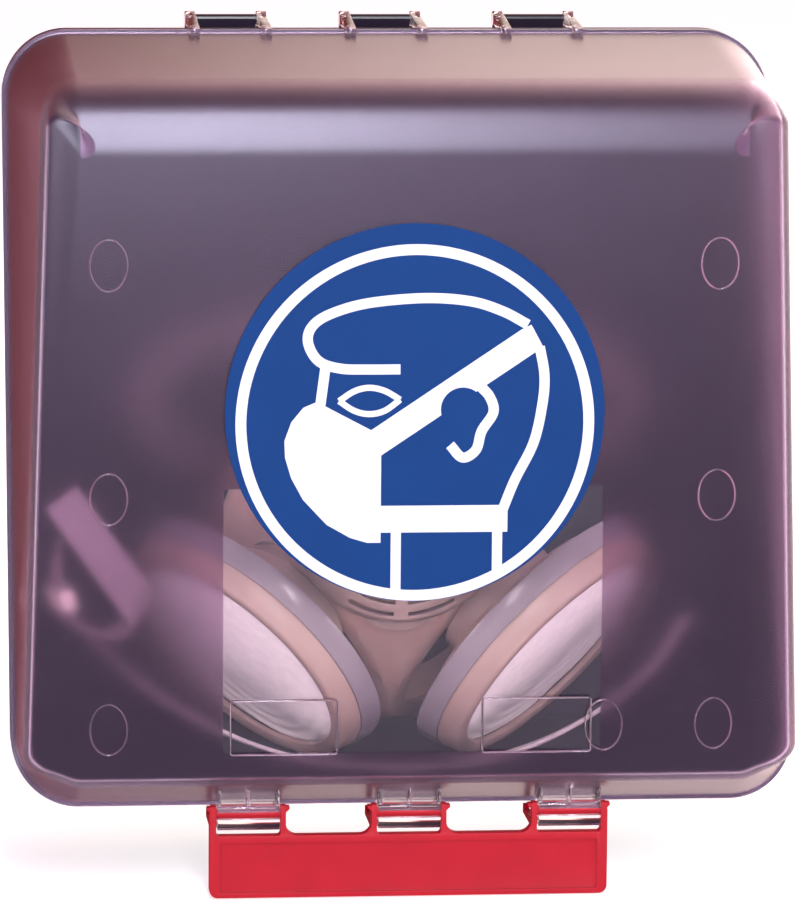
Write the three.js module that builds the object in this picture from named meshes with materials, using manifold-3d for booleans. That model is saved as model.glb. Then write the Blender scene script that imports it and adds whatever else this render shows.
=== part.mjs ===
// Wall box for a half mask respirator, with the mask stored inside it.
//
// Millimetres, +Z up. The origin is the centre of the flat rear face that goes against the wall, +X is to
// the right of somebody who stands in front of the box, and the front faces -Y.
//
// The box is split on a slanted parting plane. The dark rear shell is deep at the bottom and shallow at the
// top, and the frosted lid is a wedge that is deep at the top. The lid swings up on three pins at the top
// rear edge. A latch plate hangs on three rods under the lid and hooks behind the rear shell's rim.
import * as THREE from "three";
import { mergeVertices } from "three/addons/utils/BufferGeometryUtils.js";
import Module from "manifold-3d";

const wasm = await Module();
wasm.setup();

const TAU = Math.PI * 2;
const GAP = 0.3; // between pieces that touch
const PAST = 1; // how far a cutting tool runs past the face it opens

// ---- Box ----
const BOX_WIDTH = 236;
const BOX_HEIGHT = 225;
const BOX_DEPTH = 125;
const WALL = 2.2;
const RIM_CORNER = 20;
const CORNER_STEPS = 7;
const FRONT_Y = -BOX_DEPTH;
const HALF_WIDTH = BOX_WIDTH / 2;
const HALF_HEIGHT = BOX_HEIGHT / 2;
// Where the parting plane meets the bottom edge and the top edge, measured as Y.
const PARTING_BOTTOM_Y = -103;
const PARTING_TOP_Y = -21.6;
// Each shell has a band along its rim that stands proud of the wall behind it.
const RIM_BAND = 4;
const RIM_STEP = 1;
const RIM_SLOPE = 0.6;
const LID_DRAFT = 0.082; // inward travel of the lid's wall for each millimetre of depth
const LID_BOTTOM_DRAFT = 0.52; // the same for the lid's bottom wall, which slopes up to the front face
const LID_TOP_FILLET = 20;
const LID_EDGE_FILLET = 3;
const REAR_DRAFT = 0.02;
const REAR_FILLET = 8;
const FILLET_STEPS = 7;
const LID_LONGEST_EDGE = 30; // of a facet, so that the lid has no long slivers
const TONGUE_LENGTH = 2.6;
const TONGUE_WALL = 1.4;
const TONGUE_CLEARANCE = 0.4;
const TONGUE_ROOT = 3.6;

// ---- Sign ----
const SIGN_RADIUS = 56;
const SIGN_Z = 8.3;
const SIGN_THICKNESS = 0.8;

// ---- Lid hinge ----
const STATION_SPACING = 48; // the three hinge pins and the three latch clips share this spacing
const STATIONS = [
  { name: "left", x: -STATION_SPACING },
  { name: "middle", x: 0 },
  { name: "right", x: STATION_SPACING },
];
const HINGE_Y = -4;
const HINGE_Z = 113.9;
const PIN_RADIUS = 1.7;
const PIN_CLEARANCE = 0.3;
const PIN_LENGTH = 24;
const ARM_INNER = 9.5; // half the clear distance between the two arms that hold a pin
const ARM_OUTER = 12.6;
const ARM_FRONT_Y = -31;
const ARM_HUB = 2.6; // radius of an arm's end round its pin
const ARM_TOP_INNER = 2.4; // height of an arm above the hinge axis on its inner and outer side
const ARM_TOP_OUTER = 1.4;
const ARM_CLEARANCE = 0.4; // between an arm and the top of the rear shell's rim
const ARM_FOOT_Y = -26.6; // an arm's foot stands on the lid in front of the lid's rim band
const SADDLE_HALF = 9.2;
const SADDLE_FRONT = 3.2;
const SADDLE_BACK = 3.4;
const SADDLE_TOP = 0.4;

// ---- Latch and the clips that hold it ----
const ROD_Y = -115.5;
const ROD_Z = -113.5;
const ROD_RADIUS = 1.6;
const CLIP_BORE = 1.9;
const CLIP_HALF = 9.3;
const CLIP_FRONT_Y = -119.2;
const CLIP_BACK_Y = -111.6;
const CLIP_TOP_Z = -110.3;
const CLIP_BOTTOM_Z = -117.9;
const CLIP_MOUTH_LOW = -114.5;
const CLIP_MOUTH_HIGH = -112.4;
const CLIP_WEB_BACK_Y = -104.5;
const RIB_THICKNESS = 1.1;
const LATCH_HALF_WIDTH = 59.6;
const LATCH_TOP_Z = -110.9;
const LATCH_BOTTOM_Z = -138.7;
const LATCH_FRONT_Y = -117.6;
const LATCH_BACK_Y = -113.6;
const LATCH_CORNER = 2.5;
const LATCH_SHOULDER_Z = -119.9; // top of the plate, where the fingers start
const FINGER = 1.6;
const FINGER_FLARE = 1.1;
const FINGER_FLARE_HEIGHT = 2;
const WINDOW_HALF = CLIP_HALF + GAP;
const NOTCH_CORNER = 3.5;
const RECESS_HALF = 56.5;
const RECESS_TOP_Z = -122;
const RECESS_BOTTOM_Z = -137.1;
const RECESS_DEPTH = 0.7;
const HOOK_LOW_Z = -118.6;
const HOOK_HIGH_Z = -116.8;
const HOOK_TIP_Y = -94.6;
const HOOK_TOOTH = 2.2;
const HOOK_TOOTH_Z = -115.8;

// ---- Keyholes in the rear wall ----
const KEYHOLE_X = 30;
const KEYHOLE_Z = 8;
const KEYHOLE_HEAD_RADIUS = 4.5;
const KEYHOLE_SLOT_RADIUS = 2.3;
const KEYHOLE_SLOT_RISE = 9;

// ---- Filters: one each side, on an axis that points outwards, forwards and down ----
const FILTER_X = 48.5;
const FILTER_Y = -70;
const FILTER_Z = -74.6;
const FILTER_AXIS = new THREE.Vector3(0.65, -0.44, -0.62).normalize();
const PAD_RADIUS = 38.8;
const PAD_THICKNESS = 8.5;
const PAD_CROWN = 1.6;
const RING_LIP_RADIUS = 36.8;
const RING_FRONT_RADIUS = 41.2;
const RING_BACK_RADIUS = 46;
const RING_WALL = 1.8;
const RING_FRONT = 1.2;
const RING_BACK = 12;
const BODY_RIM_RADIUS = 42.8;
const BODY_FRONT = 9;
const BODY_SHOULDER = 15.5;
const BODY_BACK = 26.5;
const BODY_WALL = 1.8;
const COLLAR_OUTER = 20.5;
const COLLAR_INNER = 17.4;
const PORT_OUTER = 17;
const PORT_INNER = 13.6;
const PORT_FLANGE = 18.8;
const PORT_FRONT = 18;
const PORT_BACK = 36;
const FLANGE_FRONT = 31.2;
const FLANGE_BACK = 32.8;
const SPIDER_THICKNESS = 1.6;
const SPOKE_WIDTH = 2.4;
const FLAP_THICKNESS = 0.9;
const INHALE_FLAP_RADIUS = 15.6;

// ---- Exhalation valve ----
const VALVE_Y = -84;
const VALVE_Z = -29;
const VALVE_TILT = THREE.MathUtils.degToRad(12); // nose-down tilt of the valve axis
const SEAT_TUBE_OUTER = 17.5;
const SEAT_TUBE_INNER = 14.5;
const SEAT_BACK = 7;
const SEAT_FLANGE = 24;
const SEAT_FRONT = 3.4;
const EXHALE_FLAP_RADIUS = 17;
const COVER_RADIUS = 33;
const COVER_WALL = 1.6;
const COVER_BACK = 1;
const COVER_SIDE = 5;
const COVER_FRONT = 12;
const COVER_SLITS = [24.2, 28.6]; // radius of each row of slits
const SLIT_WIDTH = 1.5;
const SLIT_SPAN = THREE.MathUtils.degToRad(34);
const SLIT_RIB = THREE.MathUtils.degToRad(4.5);
const LOBE_RADIUS = 15.5;
const LOBE_DROP = 21;
const LOBE_THICKNESS = 2.4;

// ---- Facepiece ----
// Egg-shaped sections from the face seal at the rear to the valve opening at the front. "lean" is the share
// of the valve's tilt that a section takes.
const FACE_SECTIONS = [
  { y: -8, halfWidth: 48, halfHeight: 55, centreZ: -46, lean: 0 },
  { y: -13, halfWidth: 51, halfHeight: 58, centreZ: -46, lean: 0 },
  { y: -30, halfWidth: 49, halfHeight: 55, centreZ: -46, lean: 0 },
  { y: -52, halfWidth: 43, halfHeight: 47, centreZ: -43, lean: 0.2 },
  { y: -70, halfWidth: 34, halfHeight: 37, centreZ: -37, lean: 0.6 },
  { y: -84.3, halfWidth: 25.5, halfHeight: 27, centreZ: -31, lean: 1 },
];
const FACE_WALL = 2.6;
const FACE_STEPS = 32;
const FACE_NARROWING = 0.2; // how much narrower the section is at the nose than at the chin
const SEAL_LIP = 9; // width of the in-turned sealing lip
const SEAL_LIP_DEPTH = 3;
const FACET_CLEAR_RADIUS = 60;
const FACET_DEPTH = 27.6; // along a filter's axis, where its flat on the facepiece lies
const FACET_WALL = 3;
const LUG_SIZE = [9, 4, 15];
const LUG_SLOT = [3, 8, 12.4];
const LUG_Y = -24;
const LUGS = [
  { x: 39, z: -12 },
  { x: 53, z: -50 },
];

// ---- Straps ----
const STRAP_WIDTH = 11.5;
const STRAP_THICKNESS = 1.4;
const SLIDE_LENGTH = 6;
const SLIDE_WALL = 1.2;
const SLIDE_STATION = 7; // the loop's station that the slide sits after

const paint = (color, roughness, metalness = 0, opacity = 1) =>
  new THREE.MeshStandardMaterial({
    color,
    roughness,
    metalness,
    opacity,
    transparent: opacity < 1,
  });

// ---- Solids ----

// A closed geometry as a manifold-3d solid.
function solidOf(geometry) {
  const source = geometry.clone();
  source.deleteAttribute("normal");
  source.deleteAttribute("uv");
  const merged = mergeVertices(source, 1e-4);
  const index = merged.index.array;
  const triangles = [];
  for (let i = 0; i < index.length; i += 3) {
    const [a, b, c] = index.slice(i, i + 3);
    if (a !== b && b !== c && a !== c) triangles.push(a, b, c);
  }
  return new wasm.Manifold(
    new wasm.Mesh({
      numProp: 3,
      vertProperties: merged.attributes.position.array,
      triVerts: new Uint32Array(triangles),
    }),
  );
}

// A manifold-3d solid as a geometry.
function geometryOf(solid) {
  const mesh = solid.getMesh();
  const stride = mesh.numProp;
  const positions = new Float32Array(mesh.numVert * 3);
  for (let i = 0; i < mesh.numVert; i++) {
    positions.set(mesh.vertProperties.subarray(i * stride, i * stride + 3), i * 3);
  }
  return new THREE.BufferGeometry()
    .setAttribute("position", new THREE.BufferAttribute(positions, 3))
    .setIndex(new THREE.BufferAttribute(new Uint32Array(mesh.triVerts), 1));
}

const joined = (...solids) => solids.reduce((all, one) => all.add(one));
const cut = (solid, ...tools) => tools.reduce((left, tool) => left.subtract(tool), solid);

// A skin over rings of equal length, closed by a flat cap at each end. The rings run counterclockwise as
// seen from beyond the last one.
function loft(rings) {
  const count = rings[0].length;
  const positions = [];
  const triangle = (...corners) => corners.forEach((p) => positions.push(p.x, p.y, p.z));
  const middle = (ring) =>
    ring.reduce((sum, p) => sum.add(p), new THREE.Vector3()).divideScalar(ring.length);
  const first = rings[0];
  const last = rings[rings.length - 1];
  const firstMiddle = middle(first);
  const lastMiddle = middle(last);
  for (let i = 0; i < count; i++) {
    const next = (i + 1) % count;
    for (let level = 0; level + 1 < rings.length; level++) {
      const low = rings[level];
      const high = rings[level + 1];
      triangle(low[i], low[next], high[i]);
      triangle(low[next], high[next], high[i]);
    }
    triangle(firstMiddle, first[next], first[i]);
    triangle(lastMiddle, last[i], last[next]);
  }
  return new THREE.BufferGeometry().setAttribute(
    "position",
    new THREE.Float32BufferAttribute(positions, 3),
  );
}

// A box between two corners.
function block(low, high) {
  const size = high.map((value, axis) => value - low[axis]);
  const geometry = new THREE.BoxGeometry(...size);
  geometry.translate(...low.map((value, axis) => value + size[axis] / 2));
  return geometry;
}

// A cylinder along X.
function rod(radius, xLow, xHigh, y, z, sides = 16) {
  const geometry = new THREE.CylinderGeometry(radius, radius, xHigh - xLow, sides);
  geometry.rotateZ(Math.PI / 2);
  geometry.translate((xLow + xHigh) / 2, y, z);
  return geometry;
}

// A Y-Z outline, given as [y, z] corners, made thick from xLow to xHigh.
function plateAcrossX(corners, xLow, xHigh) {
  const shape = new THREE.Shape(corners.map(([y, z]) => new THREE.Vector2(y, z)));
  const geometry = new THREE.ExtrudeGeometry(shape, { depth: xHigh - xLow, bevelEnabled: false });
  const toWorld = new THREE.Matrix4().makeBasis(
    new THREE.Vector3(0, 1, 0),
    new THREE.Vector3(0, 0, 1),
    new THREE.Vector3(1, 0, 0),
  );
  return geometry.applyMatrix4(toWorld).translate(xLow, 0, 0);
}

// An X-Z shape made thick from yFront to yBack.
function plateAcrossY(shape, yFront, yBack) {
  const geometry = new THREE.ExtrudeGeometry(shape, {
    depth: yBack - yFront,
    bevelEnabled: false,
    curveSegments: 5,
  });
  return geometry.rotateX(Math.PI / 2).translate(0, yBack, 0);
}

// A turned piece about its own Y axis. The profile is a closed loop of [radius, height] corners that runs
// up its outer side, and it may start and end on the axis.
function turned(profile, sides = 40) {
  const closes = profile[0][0] === 0 && profile[profile.length - 1][0] === 0;
  const loop = closes ? profile : [...profile, profile[0]];
  return new THREE.LatheGeometry(
    loop.map(([radius, height]) => new THREE.Vector2(radius, height)),
    sides,
  );
}

// ---- Shell outline ----

// Points round the rim's outline with their outward direction, counterclockwise from the front.
const RIM_OUTLINE = [0, 1, 2, 3].flatMap((quarter) => {
  const signX = quarter === 0 || quarter === 3 ? 1 : -1;
  const signZ = quarter < 2 ? 1 : -1;
  return Array.from({ length: CORNER_STEPS + 1 }, (_, step) => {
    const angle = (quarter + step / CORNER_STEPS) * (Math.PI / 2);
    const outX = Math.cos(angle);
    const outZ = Math.sin(angle);
    return {
      x: signX * (HALF_WIDTH - RIM_CORNER) + RIM_CORNER * outX,
      z: signZ * (HALF_HEIGHT - RIM_CORNER) + RIM_CORNER * outZ,
      outX,
      outZ,
    };
  });
});

// Y of the parting plane at a height.
function partingY(z) {
  const share = (z + HALF_HEIGHT) / BOX_HEIGHT;
  return PARTING_BOTTOM_Y + (PARTING_TOP_Y - PARTING_BOTTOM_Y) * share;
}

// The outline point moved inwards by inset and placed at depth y.
const shellPoint = (p, inset, y) => new THREE.Vector3(p.x - p.outX * inset, y, p.z - p.outZ * inset);

// The outline point moved inwards by inset and placed offset behind the parting plane.
const rimPoint = (p, inset, offset) => shellPoint(p, inset, partingY(p.z - p.outZ * inset) + offset);

const rimRing = (inset, offset) => RIM_OUTLINE.map((p) => rimPoint(p, inset(p), offset));

// A weight that is 1 where the outline faces up, or down, and falls smoothly to 0 at the sides.
const facingUp = (p) => THREE.MathUtils.smoothstep(p.outZ, 0, 1);
const facingDown = (p) => THREE.MathUtils.smoothstep(-p.outZ, 0, 1);

// One point of a rounded corner between a wall that ends at (inset, y) "from" and a flat face at faceY.
function filletPoint(p, from, draft, faceY, radius, share) {
  const toFace = faceY - from.y;
  const corner = new THREE.Vector2(from.inset + draft * Math.abs(toFace), faceY);
  const start = new THREE.Vector2(from.inset, from.y);
  const along = corner.clone().sub(start);
  const back = Math.min(radius / along.length(), 0.9);
  const onWall = corner.clone().sub(along.multiplyScalar(back));
  const onFace = corner.clone().add(new THREE.Vector2(radius, 0));
  const weight = Math.SQRT1_2;
  const a = (1 - share) ** 2;
  const b = 2 * weight * share * (1 - share);
  const c = share ** 2;
  const blend = (key) => (a * onWall[key] + b * corner[key] + c * onFace[key]) / (a + b + c);
  return shellPoint(p, blend("x"), blend("y"));
}

const lidDraft = (p) => LID_DRAFT + (LID_BOTTOM_DRAFT - LID_DRAFT) * facingDown(p);
const lidFillet = (p) => LID_EDGE_FILLET + (LID_TOP_FILLET - LID_EDGE_FILLET) * facingUp(p);

// Rings of the lid's skin, from the rim to the front face: depth is 0 for the outside, WALL for the inside.
function lidRings(depth) {
  const bandEnd = -(RIM_BAND + RIM_SLOPE);
  const rings = depth
    ? [rimRing(() => depth, PAST), rimRing(() => depth, -(TONGUE_LENGTH + GAP))]
    : [rimRing(() => 0, 0), rimRing(() => 0, -RIM_BAND)];
  const wallInset = RIM_STEP + depth;
  rings.push(rimRing(() => wallInset, bandEnd));
  for (let step = 0; step <= FILLET_STEPS; step++) {
    rings.push(
      RIM_OUTLINE.map((p) => {
        const from = { inset: wallInset, y: rimPoint(p, wallInset, bandEnd).y };
        const radius = Math.max(lidFillet(p) - depth, PAST);
        return filletPoint(p, from, lidDraft(p), FRONT_Y + depth, radius, step / FILLET_STEPS);
      }),
    );
  }
  return rings;
}

// Rings of the rear shell's skin, from the wall face to the rim.
function rearRings(depth) {
  const bandStart = RIM_BAND + RIM_SLOPE;
  const wallInset = RIM_STEP + depth;
  const rings = [];
  for (let step = FILLET_STEPS; step >= 0; step--) {
    rings.push(
      RIM_OUTLINE.map((p) => {
        const from = { inset: wallInset, y: rimPoint(p, wallInset, bandStart).y };
        const radius = REAR_FILLET - depth;
        return filletPoint(p, from, REAR_DRAFT, -depth, radius, step / FILLET_STEPS);
      }),
    );
  }
  rings.push(rimRing(() => wallInset, bandStart));
  if (depth) {
    rings.push(rimRing(() => wallInset, -PAST));
  } else {
    rings.push(rimRing(() => 0, RIM_BAND), rimRing(() => 0, GAP));
  }
  return rings;
}

// The raised band inside the rear shell's rim that locates the lid.
function tongue() {
  const outer = WALL + TONGUE_CLEARANCE;
  const taper = (inset) => (p) => inset + TONGUE_LENGTH * lidDraft(p) * 1.1;
  const skin = (inset, extra) => [
    rimRing(() => inset, TONGUE_ROOT + extra),
    rimRing(() => inset, 0),
    rimRing(taper(inset), -TONGUE_LENGTH - extra),
  ];
  const root = loft([
    rimRing(() => RIM_STEP + GAP, TONGUE_ROOT),
    rimRing(() => RIM_STEP + GAP, GAP * 2),
  ]);
  return cut(
    joined(solidOf(loft(skin(outer, 0))), solidOf(root)),
    solidOf(loft(skin(outer + TONGUE_WALL, PAST))),
  );
}

// ---- Rear shell ----

function keyhole(side) {
  const shape = new THREE.Shape();
  const x = side * KEYHOLE_X;
  const halfAngle = Math.asin(KEYHOLE_SLOT_RADIUS / KEYHOLE_HEAD_RADIUS);
  const slotTop = KEYHOLE_Z + KEYHOLE_SLOT_RISE;
  shape.absarc(x, KEYHOLE_Z, KEYHOLE_HEAD_RADIUS, Math.PI / 2 + halfAngle, TAU + Math.PI / 2 - halfAngle);
  shape.absarc(x, slotTop, KEYHOLE_SLOT_RADIUS, 0, Math.PI);
  return solidOf(plateAcrossY(shape, -WALL - PAST, PAST));
}

// The half-round trough that a hinge pin turns in.
function saddle(x) {
  const body = block(
    [x - SADDLE_HALF, HINGE_Y - SADDLE_FRONT, HALF_HEIGHT - WALL],
    [x + SADDLE_HALF, HINGE_Y + SADDLE_BACK, HINGE_Z + SADDLE_TOP],
  );
  const bore = rod(PIN_RADIUS + PIN_CLEARANCE, x - PIN_LENGTH, x + PIN_LENGTH, HINGE_Y, HINGE_Z);
  return cut(solidOf(body), solidOf(bore));
}

function rearShell() {
  const skin = cut(solidOf(loft(rearRings(0))), solidOf(loft(rearRings(WALL))));
  const whole = joined(skin, tongue(), ...STATIONS.map(({ x }) => saddle(x)));
  return cut(whole, keyhole(-1), keyhole(1));
}

// ---- Lid ----

// One of the two arms that carry a hinge pin: side is -1 or 1. Its bar passes over the rear shell's rim.
function hingeArm(x, side) {
  const base = HALF_HEIGHT + ARM_CLEARANCE;
  const section = (offset, top) =>
    [
      [ARM_FRONT_Y, base],
      [HINGE_Y, base],
      [HINGE_Y, HINGE_Z + top],
      [HINGE_Y - ARM_HUB, HINGE_Z + top * 0.9],
      [ARM_FRONT_Y + ARM_HUB, base + 0.6],
    ].map(([y, z]) => new THREE.Vector3(x + side * offset, y, z));
  const rings = [section(ARM_INNER, ARM_TOP_INNER), section(ARM_OUTER, ARM_TOP_OUTER)];
  const ends = [x + side * ARM_INNER, x + side * ARM_OUTER].sort((a, b) => a - b);
  const foot = block([ends[0], ARM_FRONT_Y, HALF_HEIGHT - RIM_STEP + GAP], [ends[1], ARM_FOOT_Y, base + GAP]);
  const bore = rod(PIN_RADIUS + PIN_CLEARANCE, ends[0] - PAST, ends[1] + PAST, HINGE_Y, HINGE_Z);
  return cut(
    joined(
      solidOf(loft(side > 0 ? rings : rings.reverse())),
      solidOf(rod(ARM_HUB, ends[0], ends[1], HINGE_Y, HINGE_Z)),
      solidOf(foot),
    ),
    solidOf(bore),
  );
}

// A spring clip under the lid that opens forwards and holds one of the latch's rods.
function latchClip(x) {
  const jaw = plateAcrossX(
    [
      [CLIP_FRONT_Y, CLIP_BOTTOM_Z + 1],
      [CLIP_FRONT_Y + 1, CLIP_BOTTOM_Z],
      [CLIP_BACK_Y - 1.6, CLIP_BOTTOM_Z],
      [CLIP_BACK_Y, CLIP_BOTTOM_Z + 2],
      [CLIP_BACK_Y, CLIP_MOUTH_HIGH],
      [CLIP_WEB_BACK_Y, -HALF_HEIGHT + GAP],
      [CLIP_WEB_BACK_Y, CLIP_TOP_Z],
      [CLIP_FRONT_Y + 0.6, CLIP_TOP_Z],
      [CLIP_FRONT_Y, CLIP_TOP_Z - 0.6],
    ],
    x - CLIP_HALF,
    x + CLIP_HALF,
  );
  const mouth = block(
    [x - CLIP_HALF - PAST, CLIP_FRONT_Y - PAST, CLIP_MOUTH_LOW],
    [x + CLIP_HALF + PAST, ROD_Y, CLIP_MOUTH_HIGH],
  );
  const bore = rod(CLIP_BORE, x - CLIP_HALF - PAST, x + CLIP_HALF + PAST, ROD_Y, ROD_Z);
  return cut(solidOf(jaw), solidOf(mouth), solidOf(bore));
}

// Three gussets that tie a clip to the lid's sloping bottom wall.
function clipGussets(x) {
  const reach = CLIP_HALF - RIB_THICKNESS / 2;
  return joined(
    ...[-reach, 0, reach].map((offset) => {
      const middle = x + offset;
      return solidOf(
        plateAcrossX(
          [
            [CLIP_FRONT_Y + 0.6, CLIP_TOP_Z - 0.5],
            [CLIP_WEB_BACK_Y, CLIP_TOP_Z - 0.5],
            [CLIP_WEB_BACK_Y, -HALF_HEIGHT + WALL + RIM_STEP],
            [CLIP_FRONT_Y + 0.6, CLIP_TOP_Z + 7],
          ],
          middle - RIB_THICKNESS / 2,
          middle + RIB_THICKNESS / 2,
        ),
      );
    }),
  );
}

// A clip and its gussets, cut to fit under the lid's bottom wall with the usual gap.
function lidClip(x) {
  const grow = 1 + GAP / HALF_HEIGHT;
  const lidAndGap = solidOf(loft(lidRings(0))).scale([grow, 1, grow]);
  return cut(joined(latchClip(x), clipGussets(x)), lidAndGap);
}

function frontLid() {
  const walls = cut(solidOf(loft(lidRings(0))), solidOf(loft(lidRings(WALL))));
  return walls.refineToLength(LID_LONGEST_EDGE);
}

// ---- Latch ----

function roundedRectangle(xLow, xHigh, zLow, zHigh, radius) {
  const shape = new THREE.Shape();
  shape.absarc(xHigh - radius, zLow + radius, radius, -Math.PI / 2, 0);
  shape.absarc(xHigh - radius, zHigh - radius, radius, 0, Math.PI / 2);
  shape.absarc(xLow + radius, zHigh - radius, radius, Math.PI / 2, Math.PI);
  shape.absarc(xLow + radius, zLow + radius, radius, Math.PI, Math.PI * 1.5);
  return shape;
}

// A finger beside a clip: side is -1 or 1. Its top flares and its hook reaches back under the rims.
function latchFinger(x, side) {
  const inner = x + side * WINDOW_HALF;
  const outer = inner + side * FINGER;
  const [low, high] = [Math.min(inner, outer), Math.max(inner, outer)];
  const post = block([low, LATCH_FRONT_Y, LATCH_SHOULDER_Z - 1], [high, LATCH_BACK_Y, LATCH_TOP_Z]);
  const flareOuter = outer + side * FINGER_FLARE;
  const flareTop = LATCH_TOP_Z - GAP;
  const flareShape = new THREE.Shape(
    [
      [outer - side * GAP, flareTop - FINGER_FLARE_HEIGHT],
      [flareOuter, flareTop - FINGER_FLARE_HEIGHT / 3],
      [flareOuter, flareTop],
      [outer - side * GAP, flareTop],
    ].map(([px, pz]) => new THREE.Vector2(px, pz)),
  );
  const hook = plateAcrossX(
    [
      [LATCH_BACK_Y - 1, HOOK_LOW_Z],
      [HOOK_TIP_Y, HOOK_LOW_Z],
      [HOOK_TIP_Y, HOOK_TOOTH_Z],
      [HOOK_TIP_Y - HOOK_TOOTH, HOOK_TOOTH_Z],
      [HOOK_TIP_Y - HOOK_TOOTH - 1, HOOK_HIGH_Z],
      [LATCH_BACK_Y - 1, HOOK_HIGH_Z + 1],
    ],
    low,
    high,
  );
  return joined(
    solidOf(post),
    solidOf(plateAcrossY(flareShape, LATCH_FRONT_Y + GAP, LATCH_BACK_Y - GAP)),
    solidOf(hook),
  );
}

function latch() {
  const plate = plateAcrossY(
    roundedRectangle(-LATCH_HALF_WIDTH, LATCH_HALF_WIDTH, LATCH_BOTTOM_Z, LATCH_TOP_Z, LATCH_CORNER),
    LATCH_FRONT_Y,
    LATCH_BACK_Y,
  );
  const through = (shape) => solidOf(plateAcrossY(shape, LATCH_FRONT_Y - PAST, LATCH_BACK_Y + PAST));
  const aboveTop = LATCH_TOP_Z + NOTCH_CORNER * 2;
  const windows = STATIONS.map(({ x }) =>
    through(roundedRectangle(x - WINDOW_HALF, x + WINDOW_HALF, LATCH_SHOULDER_Z, aboveTop, PAST)),
  );
  const notchLow = WINDOW_HALF + FINGER;
  const notches = [-1, 0].map((pair) => {
    const start = pair * STATION_SPACING + notchLow;
    const end = (pair + 1) * STATION_SPACING - notchLow;
    return through(roundedRectangle(start, end, LATCH_SHOULDER_Z, aboveTop, NOTCH_CORNER));
  });
  const recess = solidOf(
    plateAcrossY(
      roundedRectangle(-RECESS_HALF, RECESS_HALF, RECESS_BOTTOM_Z, RECESS_TOP_Z, PAST),
      LATCH_FRONT_Y - PAST,
      LATCH_FRONT_Y + RECESS_DEPTH,
    ),
  );
  const fingers = STATIONS.flatMap(({ x }) => [latchFinger(x, -1), latchFinger(x, 1)]);
  const rods = STATIONS.map(({ x }) => {
    const reach = WINDOW_HALF + FINGER / 2;
    return solidOf(rod(ROD_RADIUS, x - reach, x + reach, ROD_Y, ROD_Z));
  });
  return joined(cut(solidOf(plate), ...windows, ...notches, recess), ...fingers, ...rods);
}

// ---- Filters ----

const filterPad = () =>
  turned([
    [0, -PAD_THICKNESS],
    [PAD_RADIUS, -PAD_THICKNESS],
    [PAD_RADIUS, -PAD_CROWN],
    [PAD_RADIUS * 0.7, -PAD_CROWN / 3],
    [0, 0],
  ]);

const filterRing = () =>
  turned([
    [RING_LIP_RADIUS, -PAD_CROWN + GAP * 2 + 0.4],
    [RING_FRONT_RADIUS - RING_WALL, -PAD_CROWN + GAP],
    [RING_BACK_RADIUS - RING_WALL, -RING_BACK],
    [RING_BACK_RADIUS, -RING_BACK],
    [RING_BACK_RADIUS, -RING_BACK + RING_WALL],
    [RING_FRONT_RADIUS, RING_FRONT - 0.6],
    [RING_LIP_RADIUS + 1, RING_FRONT],
    [RING_LIP_RADIUS, RING_FRONT - 0.4],
  ]);

const filterBody = () =>
  turned([
    [COLLAR_INNER, -BODY_BACK],
    [COLLAR_OUTER, -BODY_BACK],
    [COLLAR_OUTER, -BODY_SHOULDER - BODY_WALL - 2],
    [BODY_RIM_RADIUS - 6, -BODY_SHOULDER],
    [BODY_RIM_RADIUS, -BODY_FRONT - 3],
    [BODY_RIM_RADIUS, -BODY_FRONT],
    [BODY_RIM_RADIUS - BODY_WALL, -BODY_FRONT],
    [BODY_RIM_RADIUS - BODY_WALL - 5, -BODY_SHOULDER + BODY_WALL],
    [COLLAR_INNER, -BODY_SHOULDER - 2],
  ]);

// A hub, spokes and an inner seat for a flap, flat against the height given.
function spider(innerRadius, low, high) {
  const hub = new THREE.CylinderGeometry(SPOKE_WIDTH, SPOKE_WIDTH, high - low, 12);
  hub.translate(0, (low + high) / 2, 0);
  const spokes = [0, 1].map((turn) => {
    const spoke = new THREE.BoxGeometry(2 * innerRadius + 1, high - low, SPOKE_WIDTH);
    return solidOf(spoke.translate(0, (low + high) / 2, 0).rotateY((turn * Math.PI) / 2));
  });
  return joined(solidOf(hub), ...spokes);
}

// The tube through the facepiece that a filter locks on to, with the seat of an inhalation flap inside.
function inhalationPort() {
  const tube = turned([
    [PORT_INNER, -PORT_BACK],
    [PORT_OUTER, -PORT_BACK],
    [PORT_OUTER, -FLANGE_BACK],
    [PORT_FLANGE, -FLANGE_BACK],
    [PORT_FLANGE, -FLANGE_FRONT],
    [PORT_OUTER, -FLANGE_FRONT],
    [PORT_OUTER, -PORT_FRONT],
    [PORT_INNER, -PORT_FRONT],
  ]);
  return joined(solidOf(tube), spider(PORT_INNER, -PORT_BACK, -PORT_BACK + SPIDER_THICKNESS));
}

const disc = (radius, low, thickness, sides = 32) =>
  new THREE.CylinderGeometry(radius, radius, thickness, sides).translate(0, low + thickness / 2, 0);

// Places a piece whose own Y axis is a filter's axis, on the left (-1) or the right (1).
function placeOnFilter(object, side) {
  const axis = new THREE.Vector3(side * FILTER_AXIS.x, FILTER_AXIS.y, FILTER_AXIS.z);
  object.quaternion.setFromUnitVectors(new THREE.Vector3(0, 1, 0), axis);
  object.position.set(side * FILTER_X, FILTER_Y, FILTER_Z);
  object.updateMatrix();
  return object;
}

// ---- Facepiece ----

// One egg-shaped section, narrower towards the nose, shrunk all round by inset.
function faceRing({ y, halfWidth, halfHeight, centreZ, lean }, inset) {
  return Array.from({ length: FACE_STEPS }, (_, step) => {
    const angle = (step / FACE_STEPS) * TAU;
    const rise = Math.sin(angle);
    const narrowing = 1 - FACE_NARROWING * Math.max(0, rise);
    const z = centreZ + (halfHeight - inset) * rise;
    return new THREE.Vector3(
      (halfWidth - inset) * Math.cos(angle) * narrowing,
      y - lean * Math.tan(VALVE_TILT) * (z - VALVE_Z),
      z,
    );
  });
}

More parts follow.
